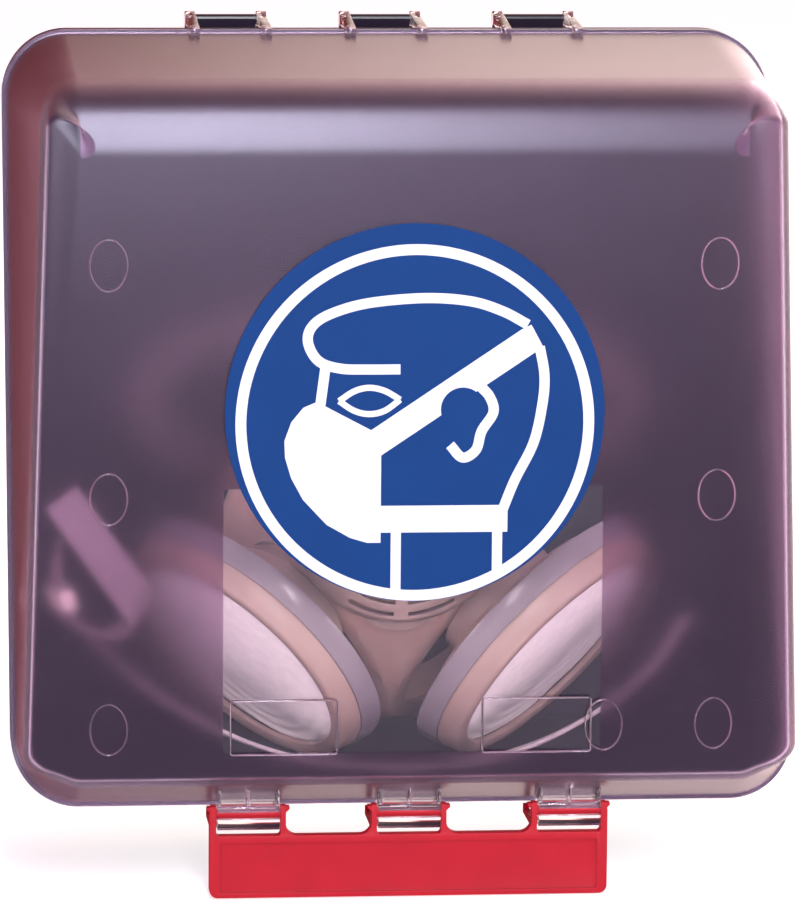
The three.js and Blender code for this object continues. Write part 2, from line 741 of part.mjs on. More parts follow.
// A cylinder on a filter's axis from "near" to "far" behind the pad's face.
function filterCutter(side, radius, near, far, sides = 40) {
  const geometry = disc(radius, -far, far - near, sides);
  return solidOf(geometry.applyMatrix4(placeOnFilter(new THREE.Object3D(), side).matrix));
}

// The pieces of the exhalation valve share this placing: their own Y axis points out of the mask.
function placeOnValve(object) {
  object.rotation.x = Math.PI + VALVE_TILT;
  object.position.set(0, VALVE_Y, VALVE_Z);
  object.updateMatrix();
  return object;
}

// A slotted tab that a strap passes through.
function strapLug(side, { x, z }) {
  const lug = new THREE.BoxGeometry(...LUG_SIZE).translate(side * x, LUG_Y, z);
  const slot = new THREE.BoxGeometry(...LUG_SLOT).translate(side * (x + 1), LUG_Y, z);
  return [solidOf(lug), solidOf(slot)];
}

function facepiece() {
  const rear = FACE_SECTIONS[0];
  const outside = loft(FACE_SECTIONS.map((section) => faceRing(section, 0)));
  const mouthRings = [
    faceRing({ ...rear, y: rear.y + PAST }, SEAL_LIP),
    faceRing({ ...rear, y: rear.y - SEAL_LIP_DEPTH }, SEAL_LIP),
  ];
  const insideRings = [
    faceRing({ ...rear, y: rear.y - SEAL_LIP_DEPTH + GAP }, SEAL_LIP),
    ...FACE_SECTIONS.slice(2).map((section) => faceRing({ ...section, y: section.y + FACE_WALL }, FACE_WALL)),
  ];
  const sides = [-1, 1];
  const keepWall = sides.map((side) =>
    filterCutter(side, FACET_CLEAR_RADIUS, -10, FACET_DEPTH + FACET_WALL),
  );
  const inside = cut(solidOf(loft(insideRings)), ...keepWall);
  const flats = sides.map((side) => filterCutter(side, FACET_CLEAR_RADIUS, -10, FACET_DEPTH));
  const portHoles = sides.map((side) => filterCutter(side, PORT_OUTER + GAP, 0, PORT_BACK + 4, 32));
  const flangePockets = sides.map((side) =>
    filterCutter(side, PORT_FLANGE + GAP, FLANGE_FRONT - GAP, FLANGE_BACK + GAP, 32),
  );
  const valveHole = disc(SEAT_TUBE_OUTER + GAP, -20, 40);
  valveHole.applyMatrix4(placeOnValve(new THREE.Object3D()).matrix);
  const lugs = sides.flatMap((side) => LUGS.map((place) => strapLug(side, place)));
  return cut(
    joined(cut(solidOf(outside), ...flats), ...lugs.map(([lug]) => lug)),
    inside,
    solidOf(loft(mouthRings)),
    ...portHoles,
    ...flangePockets,
    solidOf(valveHole),
    ...lugs.map(([, slot]) => slot),
  );
}

// ---- Exhalation valve, in its own frame: +Y points out of the mask ----

function exhalationSeat() {
  const body = turned([
    [SEAT_TUBE_INNER, -SEAT_BACK],
    [SEAT_TUBE_OUTER, -SEAT_BACK],
    [SEAT_TUBE_OUTER, SEAT_FRONT - 2],
    [SEAT_FLANGE, SEAT_FRONT - 2],
    [SEAT_FLANGE, SEAT_FRONT - 0.8],
    [SEAT_TUBE_OUTER, SEAT_FRONT],
    [SEAT_TUBE_INNER, SEAT_FRONT],
  ]);
  const low = SEAT_FRONT - SPIDER_THICKNESS;
  return joined(solidOf(body), spider(SEAT_TUBE_INNER, low, SEAT_FRONT));
}

// One slit of the cover, an arc that runs from one angle to another about the valve's axis.
function slit(radius, from, to) {
  const shape = new THREE.Shape();
  shape.absarc(0, 0, radius + SLIT_WIDTH / 2, from, to, false);
  shape.absarc(0, 0, radius - SLIT_WIDTH / 2, to, from, true);
  const geometry = new THREE.ExtrudeGeometry(shape, {
    depth: COVER_FRONT,
    bevelEnabled: false,
    curveSegments: 5,
  });
  return solidOf(geometry.rotateX(Math.PI / 2).translate(0, COVER_FRONT + PAST, 0));
}

function exhalationCover() {
  const skin = turned([
    [COVER_RADIUS - COVER_WALL, COVER_BACK],
    [COVER_RADIUS, COVER_BACK],
    [COVER_RADIUS, COVER_SIDE],
    [COVER_RADIUS * 0.93, COVER_SIDE + 3.4],
    [COVER_RADIUS * 0.75, COVER_FRONT - 1.4],
    [COVER_RADIUS * 0.5, COVER_FRONT - 0.3],
    [0, COVER_FRONT],
    [0, COVER_FRONT - COVER_WALL],
    [COVER_RADIUS * 0.5, COVER_FRONT - COVER_WALL - 0.3],
    [COVER_RADIUS * 0.75 - 0.8, COVER_FRONT - COVER_WALL - 1.4],
    [COVER_RADIUS * 0.93 - COVER_WALL, COVER_SIDE + 2.6],
    [COVER_RADIUS - COVER_WALL, COVER_SIDE],
  ]);
  const lobe = new THREE.CylinderGeometry(LOBE_RADIUS, LOBE_RADIUS, LOBE_THICKNESS, 32);
  lobe.translate(0, COVER_BACK + LOBE_THICKNESS / 2, LOBE_DROP);
  const inside = disc(COVER_RADIUS - COVER_WALL / 2, -PAST, COVER_SIDE + PAST);
  const downwards = Math.PI / 2;
  const slits = COVER_SLITS.flatMap((radius) =>
    [-1, 1].map((side) => {
      const near = downwards + side * SLIT_RIB;
      const far = downwards + side * SLIT_SPAN;
      return slit(radius, Math.min(near, far), Math.max(near, far));
    }),
  );
  return cut(joined(cut(solidOf(lobe), solidOf(inside)), solidOf(skin)), ...slits);
}

// ---- Straps ----

// A flat strap: a rectangle swept along hand-placed stations of [x, y, z] with the way its face looks.
function strap(stations, width, thickness) {
  const points = stations.map(({ at }) => new THREE.Vector3(...at));
  const rings = stations.map(({ face }, index) => {
    const before = points[Math.max(index - 1, 0)];
    const after = points[Math.min(index + 1, points.length - 1)];
    const along = after.clone().sub(before).normalize();
    const across = new THREE.Vector3(...face).cross(along).normalize();
    const up = along.clone().cross(across).normalize();
    return [
      [-1, -1],
      [1, -1],
      [1, 1],
      [-1, 1],
    ].map(([a, b]) =>
      points[index]
        .clone()
        .addScaledVector(across, (a * width) / 2)
        .addScaledVector(up, (b * thickness) / 2),
    );
  });
  return loft(rings);
}

// The loose loop of the neck strap at the left of the mask: down its front ply and back up behind it.
const LEFT_LOOP = [
  { at: [-103, -101, -20], face: [0.1, -1, 0.1] },
  { at: [-95, -102.5, -31], face: [0.1, -1, 0] },
  { at: [-88, -103, -41], face: [0, -1, 0] },
  { at: [-81.5, -101, -50], face: [0.3, -0.9, -0.2] },
  { at: [-79.5, -96, -56], face: [0.9, -0.4, -0.3] },
  { at: [-83, -91.5, -61], face: [0.4, 0.3, -0.9] },
  { at: [-92, -90, -63], face: [-0.2, -0.2, -1] },
  { at: [-101, -91, -57], face: [-0.9, -0.3, -0.5] },
  { at: [-104, -92, -46], face: [-1, -0.2, 0] },
  { at: [-103, -91, -34], face: [-1, 0.1, 0.1] },
];

// The strap that lies in a shallow bow along the bottom of the box, under both filters.
const BOTTOM_BOW = [
  { at: [-100, -73, -58], face: [-0.7, -0.1, -0.7] },
  { at: [-92, -77, -68], face: [-0.6, -0.1, -0.8] },
  { at: [-78, -82, -80], face: [-0.6, -0.15, -0.8] },
  { at: [-60, -87, -91], face: [-0.5, -0.2, -0.9] },
  { at: [-42, -88, -99], face: [-0.3, -0.2, -1] },
  { at: [-22, -88, -104], face: [-0.15, -0.2, -1] },
  { at: [0, -88, -105.6], face: [0, -0.2, -1] },
  { at: [22, -88, -104], face: [0.15, -0.2, -1] },
  { at: [42, -88, -98.5], face: [0.35, -0.2, -1] },
  { at: [60, -88, -89], face: [0.5, -0.25, -0.9] },
  { at: [76, -86, -77], face: [0.6, -0.2, -0.8] },
  { at: [88, -80, -62], face: [0.8, -0.1, -0.6] },
];

// The head strap: from a lug out to a soft fold on each side, and across behind the mask's nose.
const HEAD_STRAP = [
  { at: [-56, -18, -22], face: [-0.6, -0.8, 0.1] },
  { at: [-67, -18.5, -16], face: [-0.4, -0.9, 0.1] },
  { at: [-74, -17, -5], face: [-0.2, -1, 0.1] },
  { at: [-69, -13, 7], face: [-0.1, -1, 0.2] },
  { at: [-54, -9, 15], face: [0, -1, 0.1] },
  { at: [-28, -6.5, 19], face: [0, -1, 0] },
  { at: [0, -6.5, 20], face: [0, -1, 0] },
  { at: [28, -6.5, 19], face: [0, -1, 0] },
  { at: [54, -9, 15], face: [0, -1, 0.1] },
  { at: [71, -13, 7], face: [0.1, -1, 0.2] },
  { at: [79, -17, -5], face: [0.2, -1, 0.1] },
  { at: [70, -18.5, -16], face: [0.4, -0.9, 0.1] },
  { at: [57, -18, -22], face: [0.6, -0.8, 0.1] },
];

// The flat sleeve that keeps the loop's front ply in place. Its own X runs across the strap.
function strapSlide() {
  const halfWidth = STRAP_WIDTH / 2 + GAP;
  const halfDepth = STRAP_THICKNESS / 2 + GAP;
  const halfLength = SLIDE_LENGTH / 2;
  const outside = block(
    [-halfWidth - SLIDE_WALL, -halfDepth - SLIDE_WALL, -halfLength],
    [halfWidth + SLIDE_WALL, halfDepth + SLIDE_WALL, halfLength],
  );
  const inside = block(
    [-halfWidth, -halfDepth, -halfLength - PAST],
    [halfWidth, halfDepth, halfLength + PAST],
  );
  return cut(solidOf(outside), solidOf(inside));
}

// Places a piece on a straight run of the loop, between the two stations that follow "index".
function placeOnLoop(object, index) {
  const [from, to] = [LEFT_LOOP[index], LEFT_LOOP[index + 1]];
  const start = new THREE.Vector3(...from.at);
  const end = new THREE.Vector3(...to.at);
  const along = end.clone().sub(start).normalize();
  const across = new THREE.Vector3(...from.face).add(new THREE.Vector3(...to.face)).cross(along).normalize();
  const outwards = along.clone().cross(across);
  object.quaternion.setFromRotationMatrix(new THREE.Matrix4().makeBasis(across, outwards, along));
  object.position.copy(start.lerp(end, 0.5));
  return object;
}

// ---- Assembly ----

const FINISH = {
  rear: paint("#17151c", 0.45),
  lid: paint("#8d86a6", 0.5, 0, 0.45),
  pin: paint("#0c0b10", 0.35),
  latch: paint("#d2263c", 0.38),
  sign: paint("#0a4296", 0.45),
  rubber: paint("#d9c2a6", 0.6),
  shell: paint("#e2cfae", 0.45),
  pad: paint("#eeece6", 0.9),
  flap: paint("#e9e6da", 0.5),
  webbing: paint("#d8cdb8", 0.85),
  slide: paint("#e6e0d2", 0.4),
};

const part = new THREE.Group();

function add(name, source, material, group = part) {
  const geometry = source.isBufferGeometry ? source : geometryOf(source);
  const mesh = new THREE.Mesh(geometry, material);
  mesh.name = name;
  group.add(mesh);
  return mesh;
}

add("rear_shell", rearShell(), FINISH.rear);
add("front_lid", frontLid(), FINISH.lid);
add("latch", latch(), FINISH.latch);

STATIONS.forEach(({ name, x }) => {
  add(`lid_arm_${name}_1`, hingeArm(x, -1), FINISH.lid);
  add(`lid_arm_${name}_2`, hingeArm(x, 1), FINISH.lid);
  add(`lid_clip_${name}`, lidClip(x), FINISH.lid);
  const half = PIN_LENGTH / 2;
  add(`hinge_pin_${name}`, rod(PIN_RADIUS, x - half, x + half, HINGE_Y, HINGE_Z), FINISH.pin);
});

const sign = add("sign_disc", disc(SIGN_RADIUS, 0, SIGN_THICKNESS, 96), FINISH.sign);
sign.position.set(0, FRONT_Y - GAP - SIGN_THICKNESS, SIGN_Z);

add("facepiece", facepiece(), FINISH.rubber);

[
  { side: -1, name: "left" },
  { side: 1, name: "right" },
].forEach(({ side, name }) => {
  const onAxis = placeOnFilter(new THREE.Group(), side);
  part.add(onAxis);
  add(`filter_pad_${name}`, filterPad(), FINISH.pad, onAxis);
  add(`filter_ring_${name}`, filterRing(), FINISH.shell, onAxis);
  add(`filter_body_${name}`, filterBody(), FINISH.shell, onAxis);
  add(`inhalation_port_${name}`, inhalationPort(), FINISH.shell, onAxis);
  const flapLow = -PORT_BACK - GAP - FLAP_THICKNESS;
  add(`inhalation_flap_${name}`, disc(INHALE_FLAP_RADIUS, flapLow, FLAP_THICKNESS), FINISH.flap, onAxis);
});

const valve = placeOnValve(new THREE.Group());
part.add(valve);
add("exhalation_seat", exhalationSeat(), FINISH.shell, valve);
add("exhalation_flap", disc(EXHALE_FLAP_RADIUS, SEAT_FRONT + GAP, FLAP_THICKNESS), FINISH.flap, valve);
add("exhalation_cover", exhalationCover(), FINISH.shell, valve);

add("neck_strap_loop", strap(LEFT_LOOP, STRAP_WIDTH, STRAP_THICKNESS), FINISH.webbing);
placeOnLoop(add("strap_slide", strapSlide(), FINISH.slide), SLIDE_STATION);
add("neck_strap", strap(BOTTOM_BOW, STRAP_WIDTH, STRAP_THICKNESS), FINISH.webbing);
add("head_strap", strap(HEAD_STRAP, STRAP_WIDTH, STRAP_THICKNESS), FINISH.webbing);

export default part;
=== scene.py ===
"""Looks for a wall box for a half mask respirator, with the mask stored inside it.

Everything is in metres in the CAD frame: the origin is the centre of the rear face, +X right, +Z up, and the
front faces -Y. Sizes below are in millimetres and go through MM, unless a comment says otherwise.
"""

import math

import bmesh
import bpy
import numpy as np
from mathutils import Matrix, Vector


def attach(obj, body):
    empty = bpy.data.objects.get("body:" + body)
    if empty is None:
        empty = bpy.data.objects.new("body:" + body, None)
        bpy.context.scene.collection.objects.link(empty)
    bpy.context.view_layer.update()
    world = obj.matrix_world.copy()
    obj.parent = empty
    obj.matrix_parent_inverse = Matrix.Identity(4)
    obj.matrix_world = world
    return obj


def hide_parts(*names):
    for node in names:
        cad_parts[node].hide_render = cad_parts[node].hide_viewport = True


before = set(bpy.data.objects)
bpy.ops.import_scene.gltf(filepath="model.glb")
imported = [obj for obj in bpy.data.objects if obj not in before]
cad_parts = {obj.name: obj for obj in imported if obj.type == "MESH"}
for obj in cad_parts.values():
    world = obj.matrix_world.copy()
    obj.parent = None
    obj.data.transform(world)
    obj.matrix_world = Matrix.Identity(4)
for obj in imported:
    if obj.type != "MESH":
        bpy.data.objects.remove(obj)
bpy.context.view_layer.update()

MM = 0.001
TAU = math.tau

# ---- Camera and light ----
CAMERA_AT = (-170.35, -1817.56, 262.04)
CAMERA_AIM = (-5.82, -125.0, -2.95)
CAMERA_ROLL = math.radians(0.439)
CAMERA_LENS = 234.37
CAMERA_SHIFT = (0.0028, 0.0006)
FLOOR_Z = -139.2
FLOOR_HALF = 9000
FLOOR_GLOW = 0.62
ROOM = (0.30, 0.17, 0.34)  # in front of the box
WALL_LEFT = (0.30, 0.05, 0.045)  # behind the box, from left to right
WALL_RIGHT = (1.70, 1.32, 1.14)
WALL_SPREAD = (0.0, 0.13)  # sideways directions between which the wall changes
ROOM_SPREAD = (-0.2, 0.5)  # and those, from front to back, between which the room does
SOFTBOXES = (  # name, place in metres, size, watts, colour, what it is aimed at
    ("front_box", (0.0, -1.35, 0.98), (0.25, 1.9), 31, (0.94, 0.97, 1.0), (0, 0, 0)),
    ("low_left", (-1.0, -1.0, 0.02), (0.5, 0.3), 5.4, (1.0, 0.97, 0.97), (-0.05, -0.08, -0.07)),
    ("low_right", (1.0, -1.0, 0.02), (0.5, 0.3), 5.4, (1.0, 0.97, 0.97), (0.05, -0.08, -0.07)),
    ("back_right", (1.0, 1.2, 0.7), (0.9, 0.9), 10, (1.0, 0.93, 0.88), (0, 0, 0)),
)

# ---- Box ----
HALF_WIDTH = 118
HALF_HEIGHT = 112.5
FRONT_Y = -125
WALL = 2.2
RIM_CORNER = 20
CORNER_STEPS = 18
PARTING_BOTTOM_Y = -103
PARTING_TOP_Y = -21.6
RIM_BAND = 4
RIM_STEP = 1
RIM_SLOPE = 0.6
LID_DRAFT = 0.082
LID_BOTTOM_DRAFT = 0.52
LID_TOP_FILLET = 20
LID_EDGE_FILLET = 3
REAR_DRAFT = 0.02
REAR_FILLET = 8
FILLET_STEPS = 16
TONGUE_LENGTH = 2.6
TONGUE_WALL = 1.4
TONGUE_CLEARANCE = 0.4
TONGUE_ROOT = 3.6
TONGUE_LEAN = 1.1  # times the lid wall's own draft
GAP = 0.3
KEYHOLE_X = 30
KEYHOLE_Z = 8
KEYHOLE_HEAD_RADIUS = 4.5
KEYHOLE_SLOT_RADIUS = 2.3
KEYHOLE_SLOT_RISE = 9

# ---- Hinge ----
STATIONS = (-48, 0, 48)
SIDES = ("left", "middle", "right")
HINGE_Y = -4
HINGE_Z = 113.9
PIN_RADIUS = 1.7
PIN_LENGTH = 24
PIN_CHAMFER = 0.3
SADDLE_HALF = 9.2
SADDLE_FRONT = 3.2
SADDLE_BACK = 3.4
SADDLE_TOP = 0.4

# ---- Marks moulded on the lid's front ----
MARK_DEPTH = 0.02  # how far a mark's foot stands in front of the lid
OVALS = [(side * 89.9, z) for side in (-1, 1) for z in (52.1, -16.9, -85.7)] + [(57, -85.7)]
OVAL_HALF_WIDTH = 5.5
OVAL_HALF_HEIGHT = 7.6
OVAL_RIDGE = (0.5, 0.3)  # width and height
FRAME_RIDGE = (0.6, 0.35)
LABEL_FRAMES = ((-53.9, -22.4, -93.7, -77.4), (20.8, 53.1, -93.7, -77.4))  # left, right, low, high

# ---- Sign ----
SIGN_Z = 8.3
SIGN_FACE_Y = -126.1
STROKE = 3.0
EYE_STROKE = 1.8
PRINT = 0.08  # how far the white print stands in front of the blue film
PRINT_STEP = 0.005  # parts of the print that overlap stand this much proud of each other
SIGN_RING_Z = -3
SIGN_RING_RADII = (52.9, 49.7)
EAR_AT = (14, 1)
EAR_RADIUS = 6.5

# ---- Filters ----
FILTER_AT = (48.5, -70, -74.6)
FILTER_AXIS = (0.65, -0.44, -0.62)
PAD_RADIUS = 38.8
PAD_THICKNESS = 8.5
PAD_FACE_RADIUS = 37.4
PAD_CROWN = 1.3
PAD_SINK = 0.35
FOLD_HEIGHT = 0.34
FOLD_PITCH = 1.15  # radians of a fold's wave for each millimetre of radius
RING_BAND_PROFILE = (  # radius, and height along the filter's axis
    (36.8, -0.9),
    (39.2, -1.3),
    (41.6, -5.6),
    (43.4, -5.6),
    (43.5, -4.6),
    (41.4, 0.3),
    (40.7, 1.0),
    (39.4, 1.2),
    (37.6, 1.0),
    (36.8, 0.6),
)
RING_SKIRT_PROFILE = (
    (42.0, -5.9),
    (43.9, -5.6),
    (44.4, -6.2),
    (46.0, -11.0),
    (46.0, -12.0),
    (44.4, -12.0),
)

# ---- Valve ----
VALVE_AT = (0, -84, -29)
VALVE_TILT = math.radians(12)
VALVE_HOLE_RADIUS = 17.8
VALVE_HOLE_REACH = 20

# ---- Facepiece ----
FACE_SECTIONS = (  # y, half width, half height, centre z, share of the valve's tilt
    (-8, 48, 55, -46, 0),
    (-13, 51, 58, -46, 0),
    (-30, 49, 56, -46, 0),
    (-52, 43, 50, -45, 0.2),
    (-70, 34, 41, -40, 0.6),
    (-84.3, 25.5, 27, -31, 1),
)
FACE_WALL = 2.6
SEAL_LIP = 9
FACET_RADIUS = 60  # of the flat on the facepiece that a filter's port goes through
FACET_DEPTH = 27.6
FACET_REACH = 30  # outwards, of the tool that cuts the flat
FACE_TAPER = 0.2  # how much narrower the top of the facepiece is
LIP_SECTION = (-10.5, 48, 55, -46, 0)  # the inner side of the sealing lip
INSIDE_FROM_Y = -12

# ---- Strap sizes and routes ----
# A station on a route is a place and the direction that the strap's outer face looks in.
STRAP_WIDTH = 11.5
STRAP_THICKNESS = 1.4
STRAP_RIBS = 9
RIB_DEPTH = 0.12

LEFT_LOOP = [
    ((-103, -101, -20), (0.1, -1, 0.1)),
    ((-95, -102.5, -31), (0.1, -1, 0)),
    ((-88, -103, -41), (0, -1, 0)),
    ((-81.5, -101, -50), (0.3, -0.9, -0.2)),
    ((-79.5, -96, -56), (0.9, -0.4, -0.3)),
    ((-83, -91.5, -61), (0.4, 0.3, -0.9)),
    ((-92, -90, -63), (-0.2, -0.2, -1)),
    ((-101, -91, -57), (-0.9, -0.3, -0.5)),
    ((-104, -92, -46), (-1, -0.2, 0)),
    ((-103, -91, -34), (-1, 0.1, 0.1)),
]
BOTTOM_BOW = [
    ((-100, -73, -58), (-0.7, -0.1, -0.7)),
    ((-92, -77, -68), (-0.6, -0.1, -0.8)),
    ((-78, -82, -80), (-0.6, -0.15, -0.8)),
    ((-60, -87, -91), (-0.5, -0.2, -0.9)),
    ((-42, -88, -99), (-0.3, -0.2, -1)),
    ((-22, -88, -104), (-0.15, -0.2, -1)),
    ((0, -88, -105.6), (0, -0.2, -1)),
    ((22, -88, -104), (0.15, -0.2, -1)),
    ((42, -88, -98.5), (0.35, -0.2, -1)),
    ((60, -88, -89), (0.5, -0.25, -0.9)),
    ((76, -86, -77), (0.6, -0.2, -0.8)),
    ((88, -80, -62), (0.8, -0.1, -0.6)),
]
HEAD_STRAP = [
    ((-56, -18, -22), (-0.6, -0.8, 0.1)),
    ((-67, -18.5, -16), (-0.4, -0.9, 0.1)),
    ((-74, -17, -5), (-0.2, -1, 0.1)),
    ((-69, -13, 7), (-0.1, -1, 0.2)),
    ((-54, -9, 15), (0, -1, 0.1)),
    ((-28, -6.5, 19), (0, -1, 0)),
    ((0, -6.5, 20), (0, -1, 0)),
    ((28, -6.5, 19), (0, -1, 0)),
    ((54, -9, 15), (0, -1, 0.1)),
    ((71, -13, 7), (0.1, -1, 0.2)),
    ((79, -17, -5), (0.2, -1, 0.1)),
    ((70, -18.5, -16), (0.4, -0.9, 0.1)),
    ((57, -18, -22), (0.6, -0.8, 0.1)),
]

# ---- Smoked plastic ----
SHEEN = (0.82, 0.84, 1.0)  # the bluish cast of the smoked plastic's reflections
SPECKLE = 0.6  # strength of the frosted skin's fine bump
SPECKLE_DEPTH = 0.00003
SPECKLE_SCALE = 1100
WINDOW = (56.2, -93.7, -14.2, -121.5)  # half width, low and high Z, and the Y that it lies in front of

# ---- Textures and clean-up ----
MOTTLE_RANGE = (0.35, 0.65)  # noise values between which a colour wanders
GRAIN_STRENGTH = 0.5
WELD = 0.01
FLAT_ANGLE = math.radians(1)
SHARP_ANGLE = math.radians(40)


# ---- Materials ----


def nodes_of(name):
    """A new material and its node tree, with only a Principled shader and the output in it."""
    material = bpy.data.materials.new(name)
    material.use_nodes = True
    tree = material.node_tree
    shader = next(n for n in tree.nodes if n.type == "BSDF_PRINCIPLED")
    return material, tree, shader


def noise(tree, scale, detail=3.0):
    """A noise texture in the piece's own coordinates."""
    where = tree.nodes.new("ShaderNodeTexCoord")
    texture = tree.nodes.new("ShaderNodeTexNoise")
    texture.inputs["Scale"].default_value = scale
    texture.inputs["Detail"].default_value = detail
    tree.links.new(where.outputs["Object"], texture.inputs["Vector"])
    return texture.outputs["Fac"]


def mottled(tree, socket, colour, scale, variation):
    """Drives a colour socket with a colour that wanders a little on each side of the given one."""
    ramp = tree.nodes.new("ShaderNodeValToRGB")
    ramp.color_ramp.elements[0].position = MOTTLE_RANGE[0]
    ramp.color_ramp.elements[1].position = MOTTLE_RANGE[1]
    for element, share in zip(ramp.color_ramp.elements, (1 - variation, 1 + variation)):
        element.color = (*(min(c * share, 1) for c in colour), 1)
    tree.links.new(noise(tree, scale), ramp.inputs["Fac"])
    tree.links.new(ramp.outputs["Color"], socket)


def grained(tree, shader, scale, distance):
    """Adds a fine bump to a shader."""
    bump = tree.nodes.new("ShaderNodeBump")
    bump.inputs["Strength"].default_value = GRAIN_STRENGTH
    bump.inputs["Distance"].default_value = distance
    tree.links.new(noise(tree, scale, 2.0), bump.inputs["Height"])
    tree.links.new(bump.outputs["Normal"], shader.inputs["Normal"])


def finish(name, colour, roughness, variation=0.06, scale=90, grain=0.0, grain_scale=1500, **sockets):
    """A solid finish with a slightly uneven colour and, where grain is above zero, a fine texture."""
    material, tree, shader = nodes_of(name)
    shader.inputs["Roughness"].default_value = roughness
    for key, value in sockets.items():
        shader.inputs[key.replace("_", " ")].default_value = value
    mottled(tree, shader.inputs["Base Color"], colour, scale, variation)
    if grain:
        grained(tree, shader, grain_scale, grain)
    return material


def window_mask(tree):
    """1 inside the clear rectangle of the lid's front, 0 outside it."""
    where = tree.nodes.new("ShaderNodeTexCoord")
    split = tree.nodes.new("ShaderNodeSeparateXYZ")
    tree.links.new(where.outputs["Object"], split.inputs["Vector"])

    def step(source, operation, limit):
        node = tree.nodes.new("ShaderNodeMath")
        node.operation = operation
        node.inputs[1].default_value = limit
        tree.links.new(source, node.inputs[0])
        return node.outputs[0]

    def both(one, other):
        node = tree.nodes.new("ShaderNodeMath")
        node.operation = "MULTIPLY"
        tree.links.new(one, node.inputs[0])
        tree.links.new(other, node.inputs[1])
        return node.outputs[0]

    half, low, high, behind = (value * MM for value in WINDOW)
    x, y, z = (split.outputs[key] for key in "XYZ")
    across = both(step(x, "GREATER_THAN", -half), step(x, "LESS_THAN", half))
    upright = both(step(z, "GREATER_THAN", low), step(z, "LESS_THAN", high))
    return both(both(across, upright), step(y, "LESS_THAN", behind))


def see_through(name, colour, lamp_tint, roughness, clear=None):
    """Tinted plastic that lets lamps through. clear gives the roughness and the colour of the clear area."""
    material, tree, shader = nodes_of(name)
    shader.inputs["IOR"].default_value = 1.49
    shader.inputs["Roughness"].default_value = roughness
    shader.inputs["Transmission Weight"].default_value = 1.0
    shader.inputs["Specular Tint"].default_value = (*SHEEN, 1)
    mottled(tree, shader.inputs["Base Color"], colour, 60, 0.02)
    if clear:
        mask = window_mask(tree)
        blend = tree.nodes.new("ShaderNodeMapRange")
        blend.inputs["To Min"].default_value = roughness
        blend.inputs["To Max"].default_value = clear[0]
        tree.links.new(mask, blend.inputs["Value"])
        tree.links.new(blend.outputs["Result"], shader.inputs["Roughness"])
        mix = tree.nodes.new("ShaderNodeMix")
        mix.data_type = "RGBA"
        tree.links.new(mask, mix.inputs["Factor"])
        tree.links.new(shader.inputs["Base Color"].links[0].from_socket, mix.inputs["A"])
        mix.inputs["B"].default_value = (*clear[1], 1)
        tree.links.new(mix.outputs["Result"], shader.inputs["Base Color"])
        speckle = tree.nodes.new("ShaderNodeMapRange")
        speckle.inputs["To Min"].default_value = SPECKLE
        speckle.inputs["To Max"].default_value = 0
        tree.links.new(mask, speckle.inputs["Value"])
        bump = tree.nodes.new("ShaderNodeBump")
        bump.inputs["Distance"].default_value = SPECKLE_DEPTH
        tree.links.new(speckle.outputs["Result"], bump.inputs["Strength"])
        tree.links.new(noise(tree, SPECKLE_SCALE, 2.0), bump.inputs["Height"])
        tree.links.new(bump.outputs["Normal"], shader.inputs["Normal"])
    lamp = tree.nodes.new("ShaderNodeBsdfTransparent")
    lamp.inputs["Color"].default_value = (*lamp_tint, 1)
    path = tree.nodes.new("ShaderNodeLightPath")
    mix = tree.nodes.new("ShaderNodeMixShader")
    out = next(n for n in tree.nodes if n.type == "OUTPUT_MATERIAL")
    tree.links.new(path.outputs["Is Shadow Ray"], mix.inputs["Fac"])
    tree.links.new(shader.outputs["BSDF"], mix.inputs[1])
    tree.links.new(lamp.outputs["BSDF"], mix.inputs[2])
    tree.links.new(mix.outputs["Shader"], out.inputs["Surface"])
    return material


FROSTED = see_through(
    "frosted_plastic", (0.58, 0.42, 0.55), (0.88, 0.80, 0.84), 0.27, clear=(0.03, (0.98, 0.93, 0.94))
)
CLEAR = see_through("clear_plastic", (0.92, 0.80, 0.82), (0.93, 0.90, 0.91), 0.06)
DARK = finish(
    "dark_plastic",
    (0.012, 0.006, 0.018),
    roughness=0.7,
    scale=40,
    grain=0.00001,
    grain_scale=2500,
    Specular_IOR_Level=0.15,
)
PIN = finish("black_pin", (0.004, 0.003, 0.008), 0.25, scale=300)
RED = finish(
    "red_plastic",
    (0.33, 0.004, 0.013),
    roughness=0.42,
    variation=0.04,
    grain=0.00002,
    grain_scale=900,
    Specular_IOR_Level=0.25,
)
BLUE = finish("sign_blue", (0.0, 0.028, 0.13), 0.45, variation=0.03, scale=60, Specular_IOR_Level=0.15)
WHITE = finish("sign_white", (0.50, 0.53, 0.62), 0.45, variation=0.02)
ELASTOMER = finish(
    "mask_elastomer", (0.60, 0.40, 0.36), 0.45, grain=0.00002, Subsurface_Weight=0.3, Subsurface_Scale=0.004
)
SHELL = finish("mask_plastic", (0.38, 0.27, 0.25), 0.38, grain=0.00001)
BAND = finish("ring_band", (0.28, 0.195, 0.175), 0.42, grain=0.00001)
SKIRT = finish("ring_skirt", (0.26, 0.22, 0.26), 0.22, Transmission_Weight=0.35, IOR=1.4)
FELT = finish(
    "filter_felt", (0.93, 0.92, 0.91), 0.95, variation=0.04, scale=260, grain=0.00012, grain_scale=1200
)
SILICONE = finish("valve_rubber", (0.74, 0.66, 0.56), 0.5)
WEBBING = finish(
    "webbing", (0.25, 0.205, 0.225), 0.85, variation=0.1, scale=500, grain=0.0001, grain_scale=2500
)
# painted shade: the same webbing as the other straps, painted darker because the head strap lies deep in the
# box, in shade behind the frosted lid
SHADED_WEBBING = finish(
    "webbing_in_shade", (0.10, 0.075, 0.085), 0.85, variation=0.1, scale=500, grain=0.0001, grain_scale=2500
)
SLIDE = finish("slide_plastic", (0.78, 0.72, 0.62), 0.35)


# ---- Mesh helpers ----


